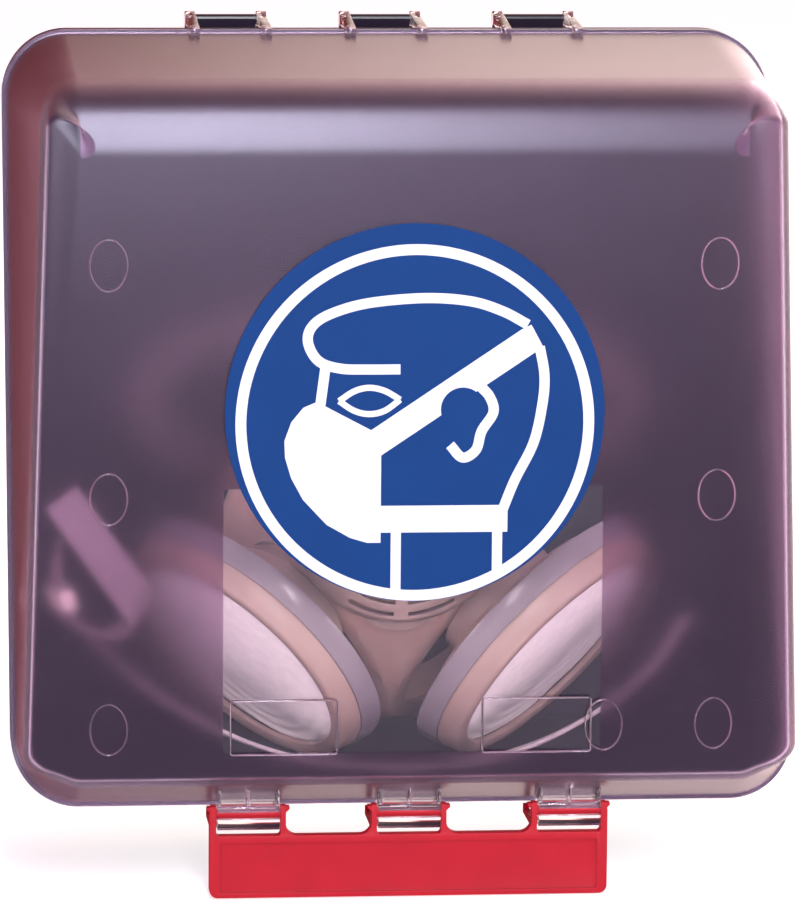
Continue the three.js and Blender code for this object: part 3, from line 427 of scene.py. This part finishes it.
def piece(name, points, faces, material, smooth_angle=35):
    """A mesh object from points in millimetres. Edges sharper than smooth_angle stay sharp."""
    mesh = bpy.data.meshes.new(name)
    mesh.from_pydata([tuple(float(v) * MM for v in p) for p in points], [], [tuple(f) for f in faces])
    return dressed(name, mesh, material, smooth_angle)


def dressed(name, mesh, material, smooth_angle=35):
    """Turns a mesh into a shaded object with outward faces."""
    bm = bmesh.new()
    bm.from_mesh(mesh)
    bmesh.ops.recalc_face_normals(bm, faces=bm.faces)
    bm.to_mesh(mesh)
    bm.free()
    for polygon in mesh.polygons:
        polygon.use_smooth = True
    mesh.set_sharp_from_angle(angle=math.radians(smooth_angle))
    mesh.materials.clear()
    mesh.materials.append(material)
    thing = bpy.data.objects.new(name, mesh)
    bpy.context.scene.collection.objects.link(thing)
    return thing


def skin(rings, caps=True, closed=False):
    """Points and faces of a tube through rings of equal length."""
    count = len(rings[0])
    points = [p for ring in rings for p in ring]
    faces = []
    pairs = list(zip(range(len(rings) - 1), range(1, len(rings))))
    if closed:
        pairs.append((len(rings) - 1, 0))
    for low, high in pairs:
        for i in range(count):
            j = (i + 1) % count
            faces.append((low * count + i, low * count + j, high * count + j, high * count + i))
    if caps and not closed:
        faces.append(tuple(range(count)))
        faces.append(tuple(range(len(points) - 1, len(points) - 1 - count, -1)))
    return points, faces


def joined(*parts):
    """One list of points and faces from several."""
    points, faces = [], []
    for more_points, more_faces in parts:
        base = len(points)
        points.extend(more_points)
        faces.extend(tuple(i + base for i in face) for face in more_faces)
    return points, faces


def turned(profile, matrix=None, steps=96):
    """A lathe about the local Y axis. The profile is (radius, height) corners, closed on itself unless it
    starts and ends on the axis."""
    on_axis = profile[0][0] == 0 and profile[-1][0] == 0
    rings = []
    for radius, height in profile[1:-1] if on_axis else profile:
        turn = np.arange(steps) * TAU / steps
        rings.append(np.stack([radius * np.cos(turn), np.full(steps, height), radius * np.sin(turn)], 1))
    points, faces = skin(rings, caps=False, closed=not on_axis)
    if on_axis:
        for end, ring, flip in ((0, 0, False), (-1, len(rings) - 1, True)):
            points.append(np.array([0.0, profile[end][1], 0.0]))
            tip = len(points) - 1
            for i in range(steps):
                pair = (ring * steps + i, ring * steps + (i + 1) % steps)
                faces.append((tip, *(pair[::-1] if flip else pair)))
    if matrix is not None:
        points = [matrix @ Vector(p) for p in points]
    return points, faces


def boolean(target, tool, operation):
    """Applies one exact boolean to target and removes the tool."""
    modifier = target.modifiers.new("boolean", "BOOLEAN")
    modifier.operation = operation
    modifier.solver = "EXACT"
    modifier.object = tool
    bpy.context.view_layer.update()
    result = bpy.data.meshes.new_from_object(target.evaluated_get(bpy.context.evaluated_depsgraph_get()))
    target.modifiers.clear()
    target.data = result
    bpy.data.objects.remove(tool)


def reshade(thing, smooth_angle):
    """Smooth shading again after a boolean."""
    for polygon in thing.data.polygons:
        polygon.use_smooth = True
    thing.data.set_sharp_from_angle(angle=math.radians(smooth_angle))


def refined(node, name, material, bevel, smooth_angle=35):
    """A welded copy of a CAD node with its sharp edges broken. It replaces the node."""
    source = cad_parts[node]
    bm = bmesh.new()
    bm.from_mesh(source.data)
    bmesh.ops.remove_doubles(bm, verts=bm.verts, dist=WELD * MM)
    bmesh.ops.dissolve_limit(bm, angle_limit=FLAT_ANGLE, verts=bm.verts, edges=bm.edges)
    if bevel:
        sharp = [e for e in bm.edges if len(e.link_faces) == 2 and e.calc_face_angle() > SHARP_ANGLE]
        bmesh.ops.bevel(
            bm, geom=sharp, offset=bevel * MM, segments=2, profile=0.5, affect="EDGES", clamp_overlap=True
        )
    mesh = bpy.data.meshes.new(name)
    bm.to_mesh(mesh)
    bm.free()
    thing = dressed(name, mesh, material, smooth_angle)
    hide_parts(node)
    return thing


def show(thing, body, slot, *replaced):
    """Says what a piece rides on and hides the CAD nodes it stands for. slot, the record finish, is not used.
    """
    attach(thing, body)
    if replaced:
        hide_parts(*replaced)
    return thing


def smooth_path(points, per_span=8):
    """A Catmull-Rom curve through points."""
    points = [np.array(p, float) for p in points]
    ends = [2 * points[0] - points[1], *points, 2 * points[-1] - points[-2]]
    path = []
    for a, b, c, d in zip(ends, ends[1:], ends[2:], ends[3:]):
        for step in range(per_span):
            t = step / per_span
            path.append(
                0.5
                * (2 * b + (c - a) * t + (2 * a - 5 * b + 4 * c - d) * t**2 + (3 * b - a - 3 * c + d) * t**3)
            )
    path.append(points[-1])
    return path


# ---- Shell outline, as in the solids but finer ----

_turn = np.concatenate([(q + np.linspace(0, 1, CORNER_STEPS + 1)) * math.pi / 2 for q in range(4)])
_quarter = np.repeat(np.arange(4), CORNER_STEPS + 1)
OUT_X, OUT_Z = np.cos(_turn), np.sin(_turn)
RIM_X = np.where((_quarter == 0) | (_quarter == 3), 1, -1) * (HALF_WIDTH - RIM_CORNER) + RIM_CORNER * OUT_X
RIM_Z = np.where(_quarter < 2, 1, -1) * (HALF_HEIGHT - RIM_CORNER) + RIM_CORNER * OUT_Z


def eased(value):
    value = np.clip(value, 0, 1)
    return value * value * (3 - 2 * value)


LID_DRAFTS = LID_DRAFT + (LID_BOTTOM_DRAFT - LID_DRAFT) * eased(-OUT_Z)
LID_FILLETS = LID_EDGE_FILLET + (LID_TOP_FILLET - LID_EDGE_FILLET) * eased(OUT_Z)


def parting_y(z):
    share = (z + HALF_HEIGHT) / (2 * HALF_HEIGHT)
    return PARTING_BOTTOM_Y + (PARTING_TOP_Y - PARTING_BOTTOM_Y) * share


def shell_ring(inset, y):
    return np.stack([RIM_X - OUT_X * inset, y + 0 * RIM_X, RIM_Z - OUT_Z * inset], 1)


def rim_ring(inset, offset):
    return shell_ring(inset, parting_y(RIM_Z - OUT_Z * inset) + offset)


def fillet_ring(inset, start_y, draft, face_y, radius, share):
    """One ring of the rounded corner between a drafted wall and a flat face."""
    corner = inset + draft * np.abs(face_y - start_y)
    length = np.hypot(corner - inset, face_y - start_y)
    back = np.minimum(radius / length, 0.9)
    wall_inset = corner - (corner - inset) * back
    wall_y = face_y - (face_y - start_y) * back
    weights = (1 - share) ** 2, 2 * math.sqrt(0.5) * share * (1 - share), share**2
    total = sum(weights)
    inset_now = (weights[0] * wall_inset + weights[1] * corner + weights[2] * (corner + radius)) / total
    y_now = (weights[0] * wall_y + weights[1] * face_y + weights[2] * face_y) / total
    return shell_ring(inset_now, y_now)


def lid_rings(depth):
    """Rings from the rim to the front face. depth is 0 outside and WALL inside."""
    band_end = -(RIM_BAND + RIM_SLOPE)
    inset = RIM_STEP + depth
    if depth:
        rings = [rim_ring(depth, 0), rim_ring(depth, -(TONGUE_LENGTH + GAP))]
    else:
        rings = [rim_ring(0, 0), rim_ring(0, -RIM_BAND)]
    rings.append(rim_ring(inset, band_end))
    start_y = rim_ring(inset, band_end)[:, 1]
    radius = np.maximum(LID_FILLETS - depth, 1)
    for share in np.linspace(0, 1, FILLET_STEPS + 1):
        rings.append(fillet_ring(inset, start_y, LID_DRAFTS, FRONT_Y + depth, radius, share))
    return rings


def rear_rings(depth):
    """Rings from the rear wall to the rim."""
    band_start = RIM_BAND + RIM_SLOPE
    inset = RIM_STEP + depth
    start_y = rim_ring(inset, band_start)[:, 1]
    shares = np.linspace(1, 0, FILLET_STEPS + 1)
    rings = [fillet_ring(inset, start_y, REAR_DRAFT, -depth, REAR_FILLET - depth, share) for share in shares]
    rings.append(rim_ring(inset, band_start))
    return rings


# ---- Rear shell ----


def keyhole_outline(side):
    """A round head opening with a slot above it, in X and Z."""
    x = side * KEYHOLE_X
    half = math.asin(KEYHOLE_SLOT_RADIUS / KEYHOLE_HEAD_RADIUS)
    head = np.linspace(math.pi / 2 + half, TAU + math.pi / 2 - half, 28)
    slot = np.linspace(0, math.pi, 14)
    top = KEYHOLE_Z + KEYHOLE_SLOT_RISE

    def arc(turns, z, radius):
        return [(x + radius * math.cos(a), z + radius * math.sin(a)) for a in turns]

    return arc(head, KEYHOLE_Z, KEYHOLE_HEAD_RADIUS) + arc(slot, top, KEYHOLE_SLOT_RADIUS)


def saddle(x):
    """The half-round trough that a hinge pin turns in."""
    bore = PIN_RADIUS + GAP
    arc = np.linspace(math.pi, TAU, 13)
    top = HINGE_Z + SADDLE_TOP
    front, back = HINGE_Y - SADDLE_FRONT, HINGE_Y + SADDLE_BACK
    corners = [(front, HALF_HEIGHT - WALL), (front, top), (HINGE_Y - bore, top)]
    corners += [(HINGE_Y + bore * math.cos(a), HINGE_Z + bore * math.sin(a)) for a in arc]
    corners += [(HINGE_Y + bore, top), (back, top), (back, HALF_HEIGHT - WALL)]
    return skin([[(at, y, z) for y, z in corners] for at in (x - SADDLE_HALF, x + SADDLE_HALF)])


def build_rear_shell():
    tongue_out = WALL + TONGUE_CLEARANCE
    taper = TONGUE_LENGTH * LID_DRAFTS * TONGUE_LEAN
    outside = rear_rings(0) + [rim_ring(0, RIM_BAND), rim_ring(0, GAP)]
    tongue = [
        rim_ring(tongue_out, GAP),
        rim_ring(tongue_out + taper, -TONGUE_LENGTH),
        rim_ring(tongue_out + taper + TONGUE_WALL, -TONGUE_LENGTH),
        rim_ring(tongue_out + TONGUE_WALL, TONGUE_ROOT),
    ]
    shell = piece("rear_shell_skin", *skin(outside + tongue + rear_rings(WALL)[::-1]), DARK, 30)
    for side in (-1, 1):
        outline = keyhole_outline(side)
        rings = [[(x, y, z) for x, z in outline] for y in (-WALL - 1, 1)]
        boolean(shell, piece("keyhole_tool", *skin(rings), DARK), "DIFFERENCE")
    for x in STATIONS:
        boolean(shell, piece("saddle_tool", *saddle(x), DARK), "UNION")
    reshade(shell, 30)
    show(shell, "case", "dark_plastic", "rear_shell")


# ---- Lid ----


def ridge(outline, y, width, height):
    """A low rounded ridge on the lid's front along a closed outline of (x, z) points."""
    points = np.array(outline, float)
    ahead = np.roll(points, -1, 0) - np.roll(points, 1, 0)
    ahead /= np.linalg.norm(ahead, axis=1, keepdims=True)
    across = np.stack([ahead[:, 1], -ahead[:, 0]], 1)
    section = ((-0.5, -0.15), (-0.35, 0.6), (0, 1), (0.35, 0.6), (0.5, -0.15))
    rings = []
    for (x, z), (dx, dz) in zip(points, across):
        rings.append([(x + dx * s * width, y - t * height, z + dz * s * width) for s, t in section])
    return skin(rings, caps=False, closed=True)


def oval(x, z, half_width, half_height, steps=40):
    turn = np.arange(steps) * TAU / steps
    return np.stack([x + half_width * np.cos(turn), z + half_height * np.sin(turn)], 1)


def rectangle(left, right, low, high, corner=0.8):
    corners = ((right, low, -1), (right, high, 0), (left, high, 1), (left, low, 2))
    outline = []
    for x, z, quarter in corners:
        cx = x - math.copysign(corner, x - (left + right) / 2)
        cz = z - math.copysign(corner, z - (low + high) / 2)
        for a in np.linspace(quarter * math.pi / 2, (quarter + 1) * math.pi / 2, 4):
            outline.append((cx + corner * math.cos(a), cz + corner * math.sin(a)))
    return outline


def build_lid():
    lid = piece("lid_skin", *skin(lid_rings(WALL)[::-1] + lid_rings(0)), FROSTED, 30)
    show(lid, "lid", "smoked_plastic", "front_lid")
    for station in SIDES:
        for node in (f"lid_arm_{station}_1", f"lid_arm_{station}_2", f"lid_clip_{station}"):
            show(refined(node, f"{node}_skin", CLEAR, bevel=0.2), "lid", "smoked_plastic")

    face = FRONT_Y - MARK_DEPTH
    marks = [ridge(oval(x, z, OVAL_HALF_WIDTH, OVAL_HALF_HEIGHT), face, *OVAL_RIDGE) for x, z in OVALS]
    marks += [ridge(rectangle(*edges), face, *FRAME_RIDGE) for edges in LABEL_FRAMES]
    show(piece("lid_marks", *joined(*marks), CLEAR, 60), "lid", "smoked_plastic")


def build_pins():
    for x, side in zip(STATIONS, SIDES):
        half = PIN_LENGTH / 2
        profile = [
            (0, -half),
            (PIN_RADIUS - PIN_CHAMFER, -half),
            (PIN_RADIUS, -half + PIN_CHAMFER),
            (PIN_RADIUS, half - PIN_CHAMFER),
            (PIN_RADIUS - PIN_CHAMFER, half),
            (0, half),
        ]
        place = Matrix.Translation((x, HINGE_Y, HINGE_Z)) @ Matrix.Rotation(math.pi / 2, 4, "Z")
        pin = piece(f"pin_{side}", *turned(profile, place, 32), PIN)
        show(pin, "lid", "black_pin", f"hinge_pin_{side}")


# ---- Sign ----


def flat_plate(outline, low, high):
    """A closed X-Z outline on the sign, made thick from low to high in front of its face."""
    rings = [[(x, SIGN_FACE_Y - depth, SIGN_Z + z) for x, z in outline] for depth in (low, high)]
    return skin(rings)


def strip(points, width, height, per_span=8):
    """A flat line of even width as a strip of quads, height thick in front of the sign's face."""
    path = np.array(smooth_path(points, per_span))
    ahead = np.gradient(path, axis=0)
    ahead /= np.linalg.norm(ahead, axis=1, keepdims=True)
    across = np.stack([-ahead[:, 1], ahead[:, 0]], 1) * width / 2
    rings = []
    for p, a in zip(path, across):
        low, high = SIGN_FACE_Y, SIGN_FACE_Y - height
        left, right = p + a, p - a
        rings.append(
            [
                (left[0], low, SIGN_Z + left[1]),
                (right[0], low, SIGN_Z + right[1]),
                (right[0], high, SIGN_Z + right[1]),
                (left[0], high, SIGN_Z + left[1]),
            ]
        )
    return skin(rings)


def ring_plate(x, z, outer, inner, steps=128):
    """A flat ring on the sign."""
    rings = []
    for radius, depth in ((outer, 0), (outer, PRINT), (inner, PRINT), (inner, 0)):
        turn = np.arange(steps) * TAU / steps
        rings.append(
            [(x + radius * math.cos(a), SIGN_FACE_Y - depth, SIGN_Z + z + radius * math.sin(a)) for a in turn]
        )
    return skin(rings, closed=True)


def build_sign():
    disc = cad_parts["sign_disc"]
    disc.data.materials.clear()
    disc.data.materials.append(BLUE)
    mask_body = [(-29, 3.5), (-13, -5), (-10, -12.5), (-10, -38.5), (-14, -38.5), (-19, -37), (-26, -33)]
    mask_body += [(-33, -25.5), (-36.5, -19), (-38.3, -13), (-38.5, -8), (-36.5, -2.5), (-33, 1.8)]
    strap = [(-13, -5), (31, 24.5), (34, 26), (37.5, 19.5), (35.5, 18), (-10, -12.5)]
    outlines = [mask_body, strap, [(-10, -27.5), (27.5, -27.5), (27.5, -35.5), (-10, -35.5)]]
    brow = [(-4.5, 13), (-14, 13), (-22, 13.3), (-28.5, 15.5), (-31.7, 21), (-30.5, 25.8)]
    crown = [(-25, 29.5), (-14, 32.6), (2.5, 34), (16, 33), (25.5, 30), (33, 26)]
    lines = [
        (brow + crown, STROKE),
        ([(36.5, 19.5), (38, 11), (37.5, 2.5), (35, -9), (29.6, -20), (26, -29)], STROKE),
        ([(-26.5, 14), (-28, 2.5)], STROKE),
        ([(19, 8), (22, 4.5), (23, 0), (19.6, -5.5), (18, -11), (14, -13.3), (10.3, -9.5)], STROKE),
        ([(-22.5, 3.7), (-18, 6.6), (-13.5, 7.6), (-9, 6.6), (-4.5, 4)], EYE_STROKE),
        ([(-22.5, 3.7), (-18, 0.8), (-13.5, -0.2), (-9, 0.8), (-4.5, 4)], EYE_STROKE),
        ([(-5.5, -35), (-5.5, -53)], STROKE),
        ([(24.5, -35), (24.5, -47)], STROKE),
    ]
    heights = (PRINT + PRINT_STEP * i for i in range(len(outlines) + len(lines)))
    parts = [flat_plate(outline, 0, next(heights)) for outline in outlines]
    parts += [strip(points, width, next(heights)) for points, width in lines]
    parts.append(ring_plate(0, SIGN_RING_Z, *SIGN_RING_RADII))
    show(piece("sign_print", *joined(*parts), WHITE, 20), "lid", "sign_film")
    turn = np.arange(48) * TAU / 48
    ear = [(EAR_AT[0] + EAR_RADIUS * math.cos(a), EAR_AT[1] + EAR_RADIUS * math.sin(a)) for a in turn]
    show(piece("sign_ear", *flat_plate(ear, PRINT / 2, PRINT * 2), BLUE, 20), "lid", "sign_film")


# ---- Mask ----


def filter_place(side):
    """The matrix that puts a piece's local Y axis on a filter's axis."""
    axis = Vector((side * FILTER_AXIS[0], FILTER_AXIS[1], FILTER_AXIS[2])).normalized()
    turn = Vector((0, 1, 0)).rotation_difference(axis).to_matrix().to_4x4()
    return Matrix.Translation((side * FILTER_AT[0], FILTER_AT[1], FILTER_AT[2])) @ turn


def fleece_pad(side, place, rings=44, steps=128):
    """A fleece disc whose front is pulled into soft folds along its inner edge."""
    turn = np.arange(steps) * TAU / steps
    loops = []
    for share in np.linspace(0, 1, rings + 1)[1:]:
        radius = PAD_FACE_RADIUS * share
        crown = -PAD_CROWN * share**4
        wander = 0.9 * np.sin(2 * turn + side) + 0.5 * np.sin(5 * turn)
        folds = np.sin(radius * FOLD_PITCH + wander * 2.2) * FOLD_HEIGHT * share**2
        inner = 0.45 + 0.55 * np.cos(turn - (math.pi if side > 0 else 0))
        height = crown + folds * inner - PAD_SINK
        loops.append(np.stack([radius * np.cos(turn), height, radius * np.sin(turn)], 1))
    rim = [(PAD_RADIUS - 0.4, -2.2), (PAD_RADIUS, -3.0), (PAD_RADIUS, -PAD_THICKNESS)]
    for radius, height in rim:
        loops.append(np.stack([radius * np.cos(turn), np.full(steps, height), radius * np.sin(turn)], 1))
    points, faces = skin(loops[::-1])
    return [place @ Vector(p) for p in points], faces


def build_filter(side, name):
    place = filter_place(side)
    body = f"filter_{name}"
    band = piece(f"{body}_band", *turned(RING_BAND_PROFILE, place), BAND, 40)
    show(band, body, "mask_plastic", f"filter_ring_{name}")
    skirt = piece(f"{body}_skirt", *turned(RING_SKIRT_PROFILE, place), SKIRT, 40)
    show(skirt, body, "mask_plastic", f"filter_ring_{name}")
    pad = piece(f"{body}_pad", *fleece_pad(side, place), FELT, 50)
    show(pad, body, "filter_felt", f"filter_pad_{name}")
    show(refined(f"filter_body_{name}", f"{body}_body", SHELL, bevel=0.3), body, "mask_plastic")
    port = refined(f"inhalation_port_{name}", f"port_{name}", SHELL, bevel=0.3)
    show(port, "case", "mask_plastic")
    flap = refined(f"inhalation_flap_{name}", f"inhalation_flap_{name}_skin", SILICONE, bevel=0.2)
    show(flap, f"inhalation_flap_{name}", "valve_rubber")


def face_ring(section, inset, steps=72):
    y, half_width, half_height, centre, lean = section
    turn = np.arange(steps) * TAU / steps
    rise = np.sin(turn)
    z = centre + (half_height - inset) * rise
    x = (half_width - inset) * np.cos(turn) * (1 - FACE_TAPER * np.maximum(0, rise))
    return np.stack([x, y - lean * math.tan(VALVE_TILT) * (z - VALVE_AT[2]), z], 1)


def cylinder_tool(place, radius, low, high):
    profile = [(0, low), (radius, low), (radius, high), (0, high)]
    return piece("cylinder_tool", *turned(profile, place, 64), DARK)


def build_facepiece():
    sections = smooth_path(FACE_SECTIONS, 5)
    outside = [face_ring(s, 0) for s in sections]
    inner = [s for s in sections if s[0] < INSIDE_FROM_Y]
    inside = [face_ring(s + np.array([FACE_WALL, 0, 0, 0, 0]), FACE_WALL) for s in inner]
    lip = [face_ring(sections[0], SEAL_LIP), face_ring(LIP_SECTION, SEAL_LIP)]
    loop = outside[::-1] + lip + inside
    skinned = piece("facepiece_skin", *skin(loop), ELASTOMER, 50)
    for side in (-1, 1):
        place = filter_place(side)
        boolean(skinned, cylinder_tool(place, FACET_RADIUS, -FACET_DEPTH, FACET_REACH), "DIFFERENCE")
    show(skinned, "case", "mask_elastomer", "facepiece")
    valve = Matrix.Translation(VALVE_AT) @ Matrix.Rotation(math.pi + VALVE_TILT, 4, "X")
    hole = cylinder_tool(valve, VALVE_HOLE_RADIUS, -VALVE_HOLE_REACH, VALVE_HOLE_REACH)
    boolean(skinned, hole, "DIFFERENCE")
    reshade(skinned, 40)


def build_valve():
    show(refined("exhalation_seat", "valve_seat", SHELL, bevel=0.2), "case", "mask_plastic")
    show(refined("exhalation_flap", "valve_flap", SILICONE, bevel=0.2), "exhalation_flap", "valve_rubber")
    show(refined("exhalation_cover", "valve_cover", SHELL, bevel=0.25), "case", "mask_plastic")


# ---- Straps ----


def strap_section():
    """A strap's cross-section, with the same lengthwise ribs on both faces and thinner edges."""
    ribs = STRAP_RIBS * 4
    across = np.linspace(-0.5, 0.5, ribs + 1) * STRAP_WIDTH
    waves = np.cos(np.linspace(0, STRAP_RIBS * TAU, ribs + 1))
    depth = 0.5 * STRAP_THICKNESS - RIB_DEPTH * (1 - waves) / 2
    depth[0] = depth[-1] = 0.3 * STRAP_THICKNESS
    return [(a, d) for a, d in zip(across, depth)] + [(a, -d) for a, d in zip(across[::-1], depth[::-1])]


def build_strap(name, node, stations, material=WEBBING):
    path = smooth_path([at for at, _ in stations])
    faces = smooth_path([face for _, face in stations])
    section = strap_section()
    rings = []
    for index, (at, face) in enumerate(zip(path, faces)):
        ahead = path[min(index + 1, len(path) - 1)] - path[max(index - 1, 0)]
        ahead /= np.linalg.norm(ahead)
        across = np.cross(face, ahead)
        across /= np.linalg.norm(across)
        up = np.cross(ahead, across)
        rings.append([at + across * a + up * d for a, d in section])
    show(piece(name, *skin(rings), material, 60), "case", "webbing", node)


# ---- Camera, floor and light ----


def studio_world():
    """A dim purple room in front of the box, and behind it a warm wall that is dark on the left."""
    world = bpy.data.worlds.new("studio")
    world.use_nodes = True
    tree = world.node_tree
    where = tree.nodes.new("ShaderNodeTexCoord")
    split = tree.nodes.new("ShaderNodeSeparateXYZ")
    tree.links.new(where.outputs["Generated"], split.inputs["Vector"])

    def ramp(source, low, high, first, second):
        share = tree.nodes.new("ShaderNodeMapRange")
        share.interpolation_type = "SMOOTHSTEP"
        share.inputs["From Min"].default_value = low
        share.inputs["From Max"].default_value = high
        tree.links.new(split.outputs[source], share.inputs["Value"])
        mix = tree.nodes.new("ShaderNodeMix")
        mix.data_type = "RGBA"
        tree.links.new(share.outputs["Result"], mix.inputs["Factor"])
        for socket, value in (("A", first), ("B", second)):
            if isinstance(value, tuple):
                mix.inputs[socket].default_value = (*value, 1)
            else:
                tree.links.new(value, mix.inputs[socket])
        return mix.outputs["Result"]

    wall = ramp("X", *WALL_SPREAD, WALL_LEFT, WALL_RIGHT)
    colour = ramp("Y", *ROOM_SPREAD, ROOM, wall)
    tree.links.new(colour, tree.nodes["Background"].inputs["Color"])
    tree.nodes["Background"].inputs["Strength"].default_value = 1.0
    return world


def build_stage():
    scene = bpy.context.scene
    at, aim = (Vector(p) * MM for p in (CAMERA_AT, CAMERA_AIM))
    ahead = (aim - at).normalized()
    right = ahead.cross(Vector((0, 0, 1))).normalized()
    up = right.cross(ahead)
    c, s = math.cos(CAMERA_ROLL), math.sin(CAMERA_ROLL)
    axes = (right * c + up * s, up * c - right * s, -ahead)
    camera = bpy.data.objects.new("camera", bpy.data.cameras.new("camera"))
    camera.data.lens = CAMERA_LENS
    camera.data.shift_x, camera.data.shift_y = CAMERA_SHIFT
    camera.matrix_world = Matrix.Translation(at) @ Matrix(axes).transposed().to_4x4()
    scene.collection.objects.link(camera)
    scene.camera = camera

    turns = ((-1, -1), (1, -1), (1, 1), (-1, 1))
    corners = [(x * FLOOR_HALF, y * FLOOR_HALF, FLOOR_Z) for x, y in turns]
    glow = {"Emission_Color": (1, 1, 1, 1), "Emission_Strength": FLOOR_GLOW}
    paint = finish("floor_paint", (0.90, 0.90, 0.90), 0.9, variation=0.01, **glow)
    floor = piece("floor", corners, [(0, 1, 2, 3)], paint)
    floor.visible_glossy = False  # or the flat front would mirror it as a white veil

    scene.world = studio_world()

    def softbox(name, at, size, energy, colour, aim):
        light = bpy.data.lights.new(name, "AREA")
        light.shape = "RECTANGLE"
        light.size, light.size_y = size
        light.energy = energy
        light.color = colour
        lamp = bpy.data.objects.new(name, light)
        lamp.location = at
        lamp.rotation_mode = "QUATERNION"
        lamp.rotation_quaternion = (Vector(aim) - Vector(at)).to_track_quat("-Z", "Y")
        scene.collection.objects.link(lamp)

    for lamp in SOFTBOXES:
        softbox(*lamp)
    scene.view_settings.view_transform = "Standard"


build_stage()
build_rear_shell()
build_lid()
build_pins()
show(refined("latch", "latch_skin", RED, bevel=0.35), "latch", "red_plastic")
build_sign()
build_facepiece()
for side, name in ((-1, "left"), (1, "right")):
    build_filter(side, name)
build_valve()
build_strap("loop_webbing", "neck_strap_loop", LEFT_LOOP)
build_strap("bow_webbing", "neck_strap", BOTTOM_BOW)
# the head strap takes the webbing with painted shade
build_strap("head_webbing", "head_strap", HEAD_STRAP, SHADED_WEBBING)
show(refined("strap_slide", "slide_skin", SLIDE, bevel=0.3), "case", "slide_plastic")
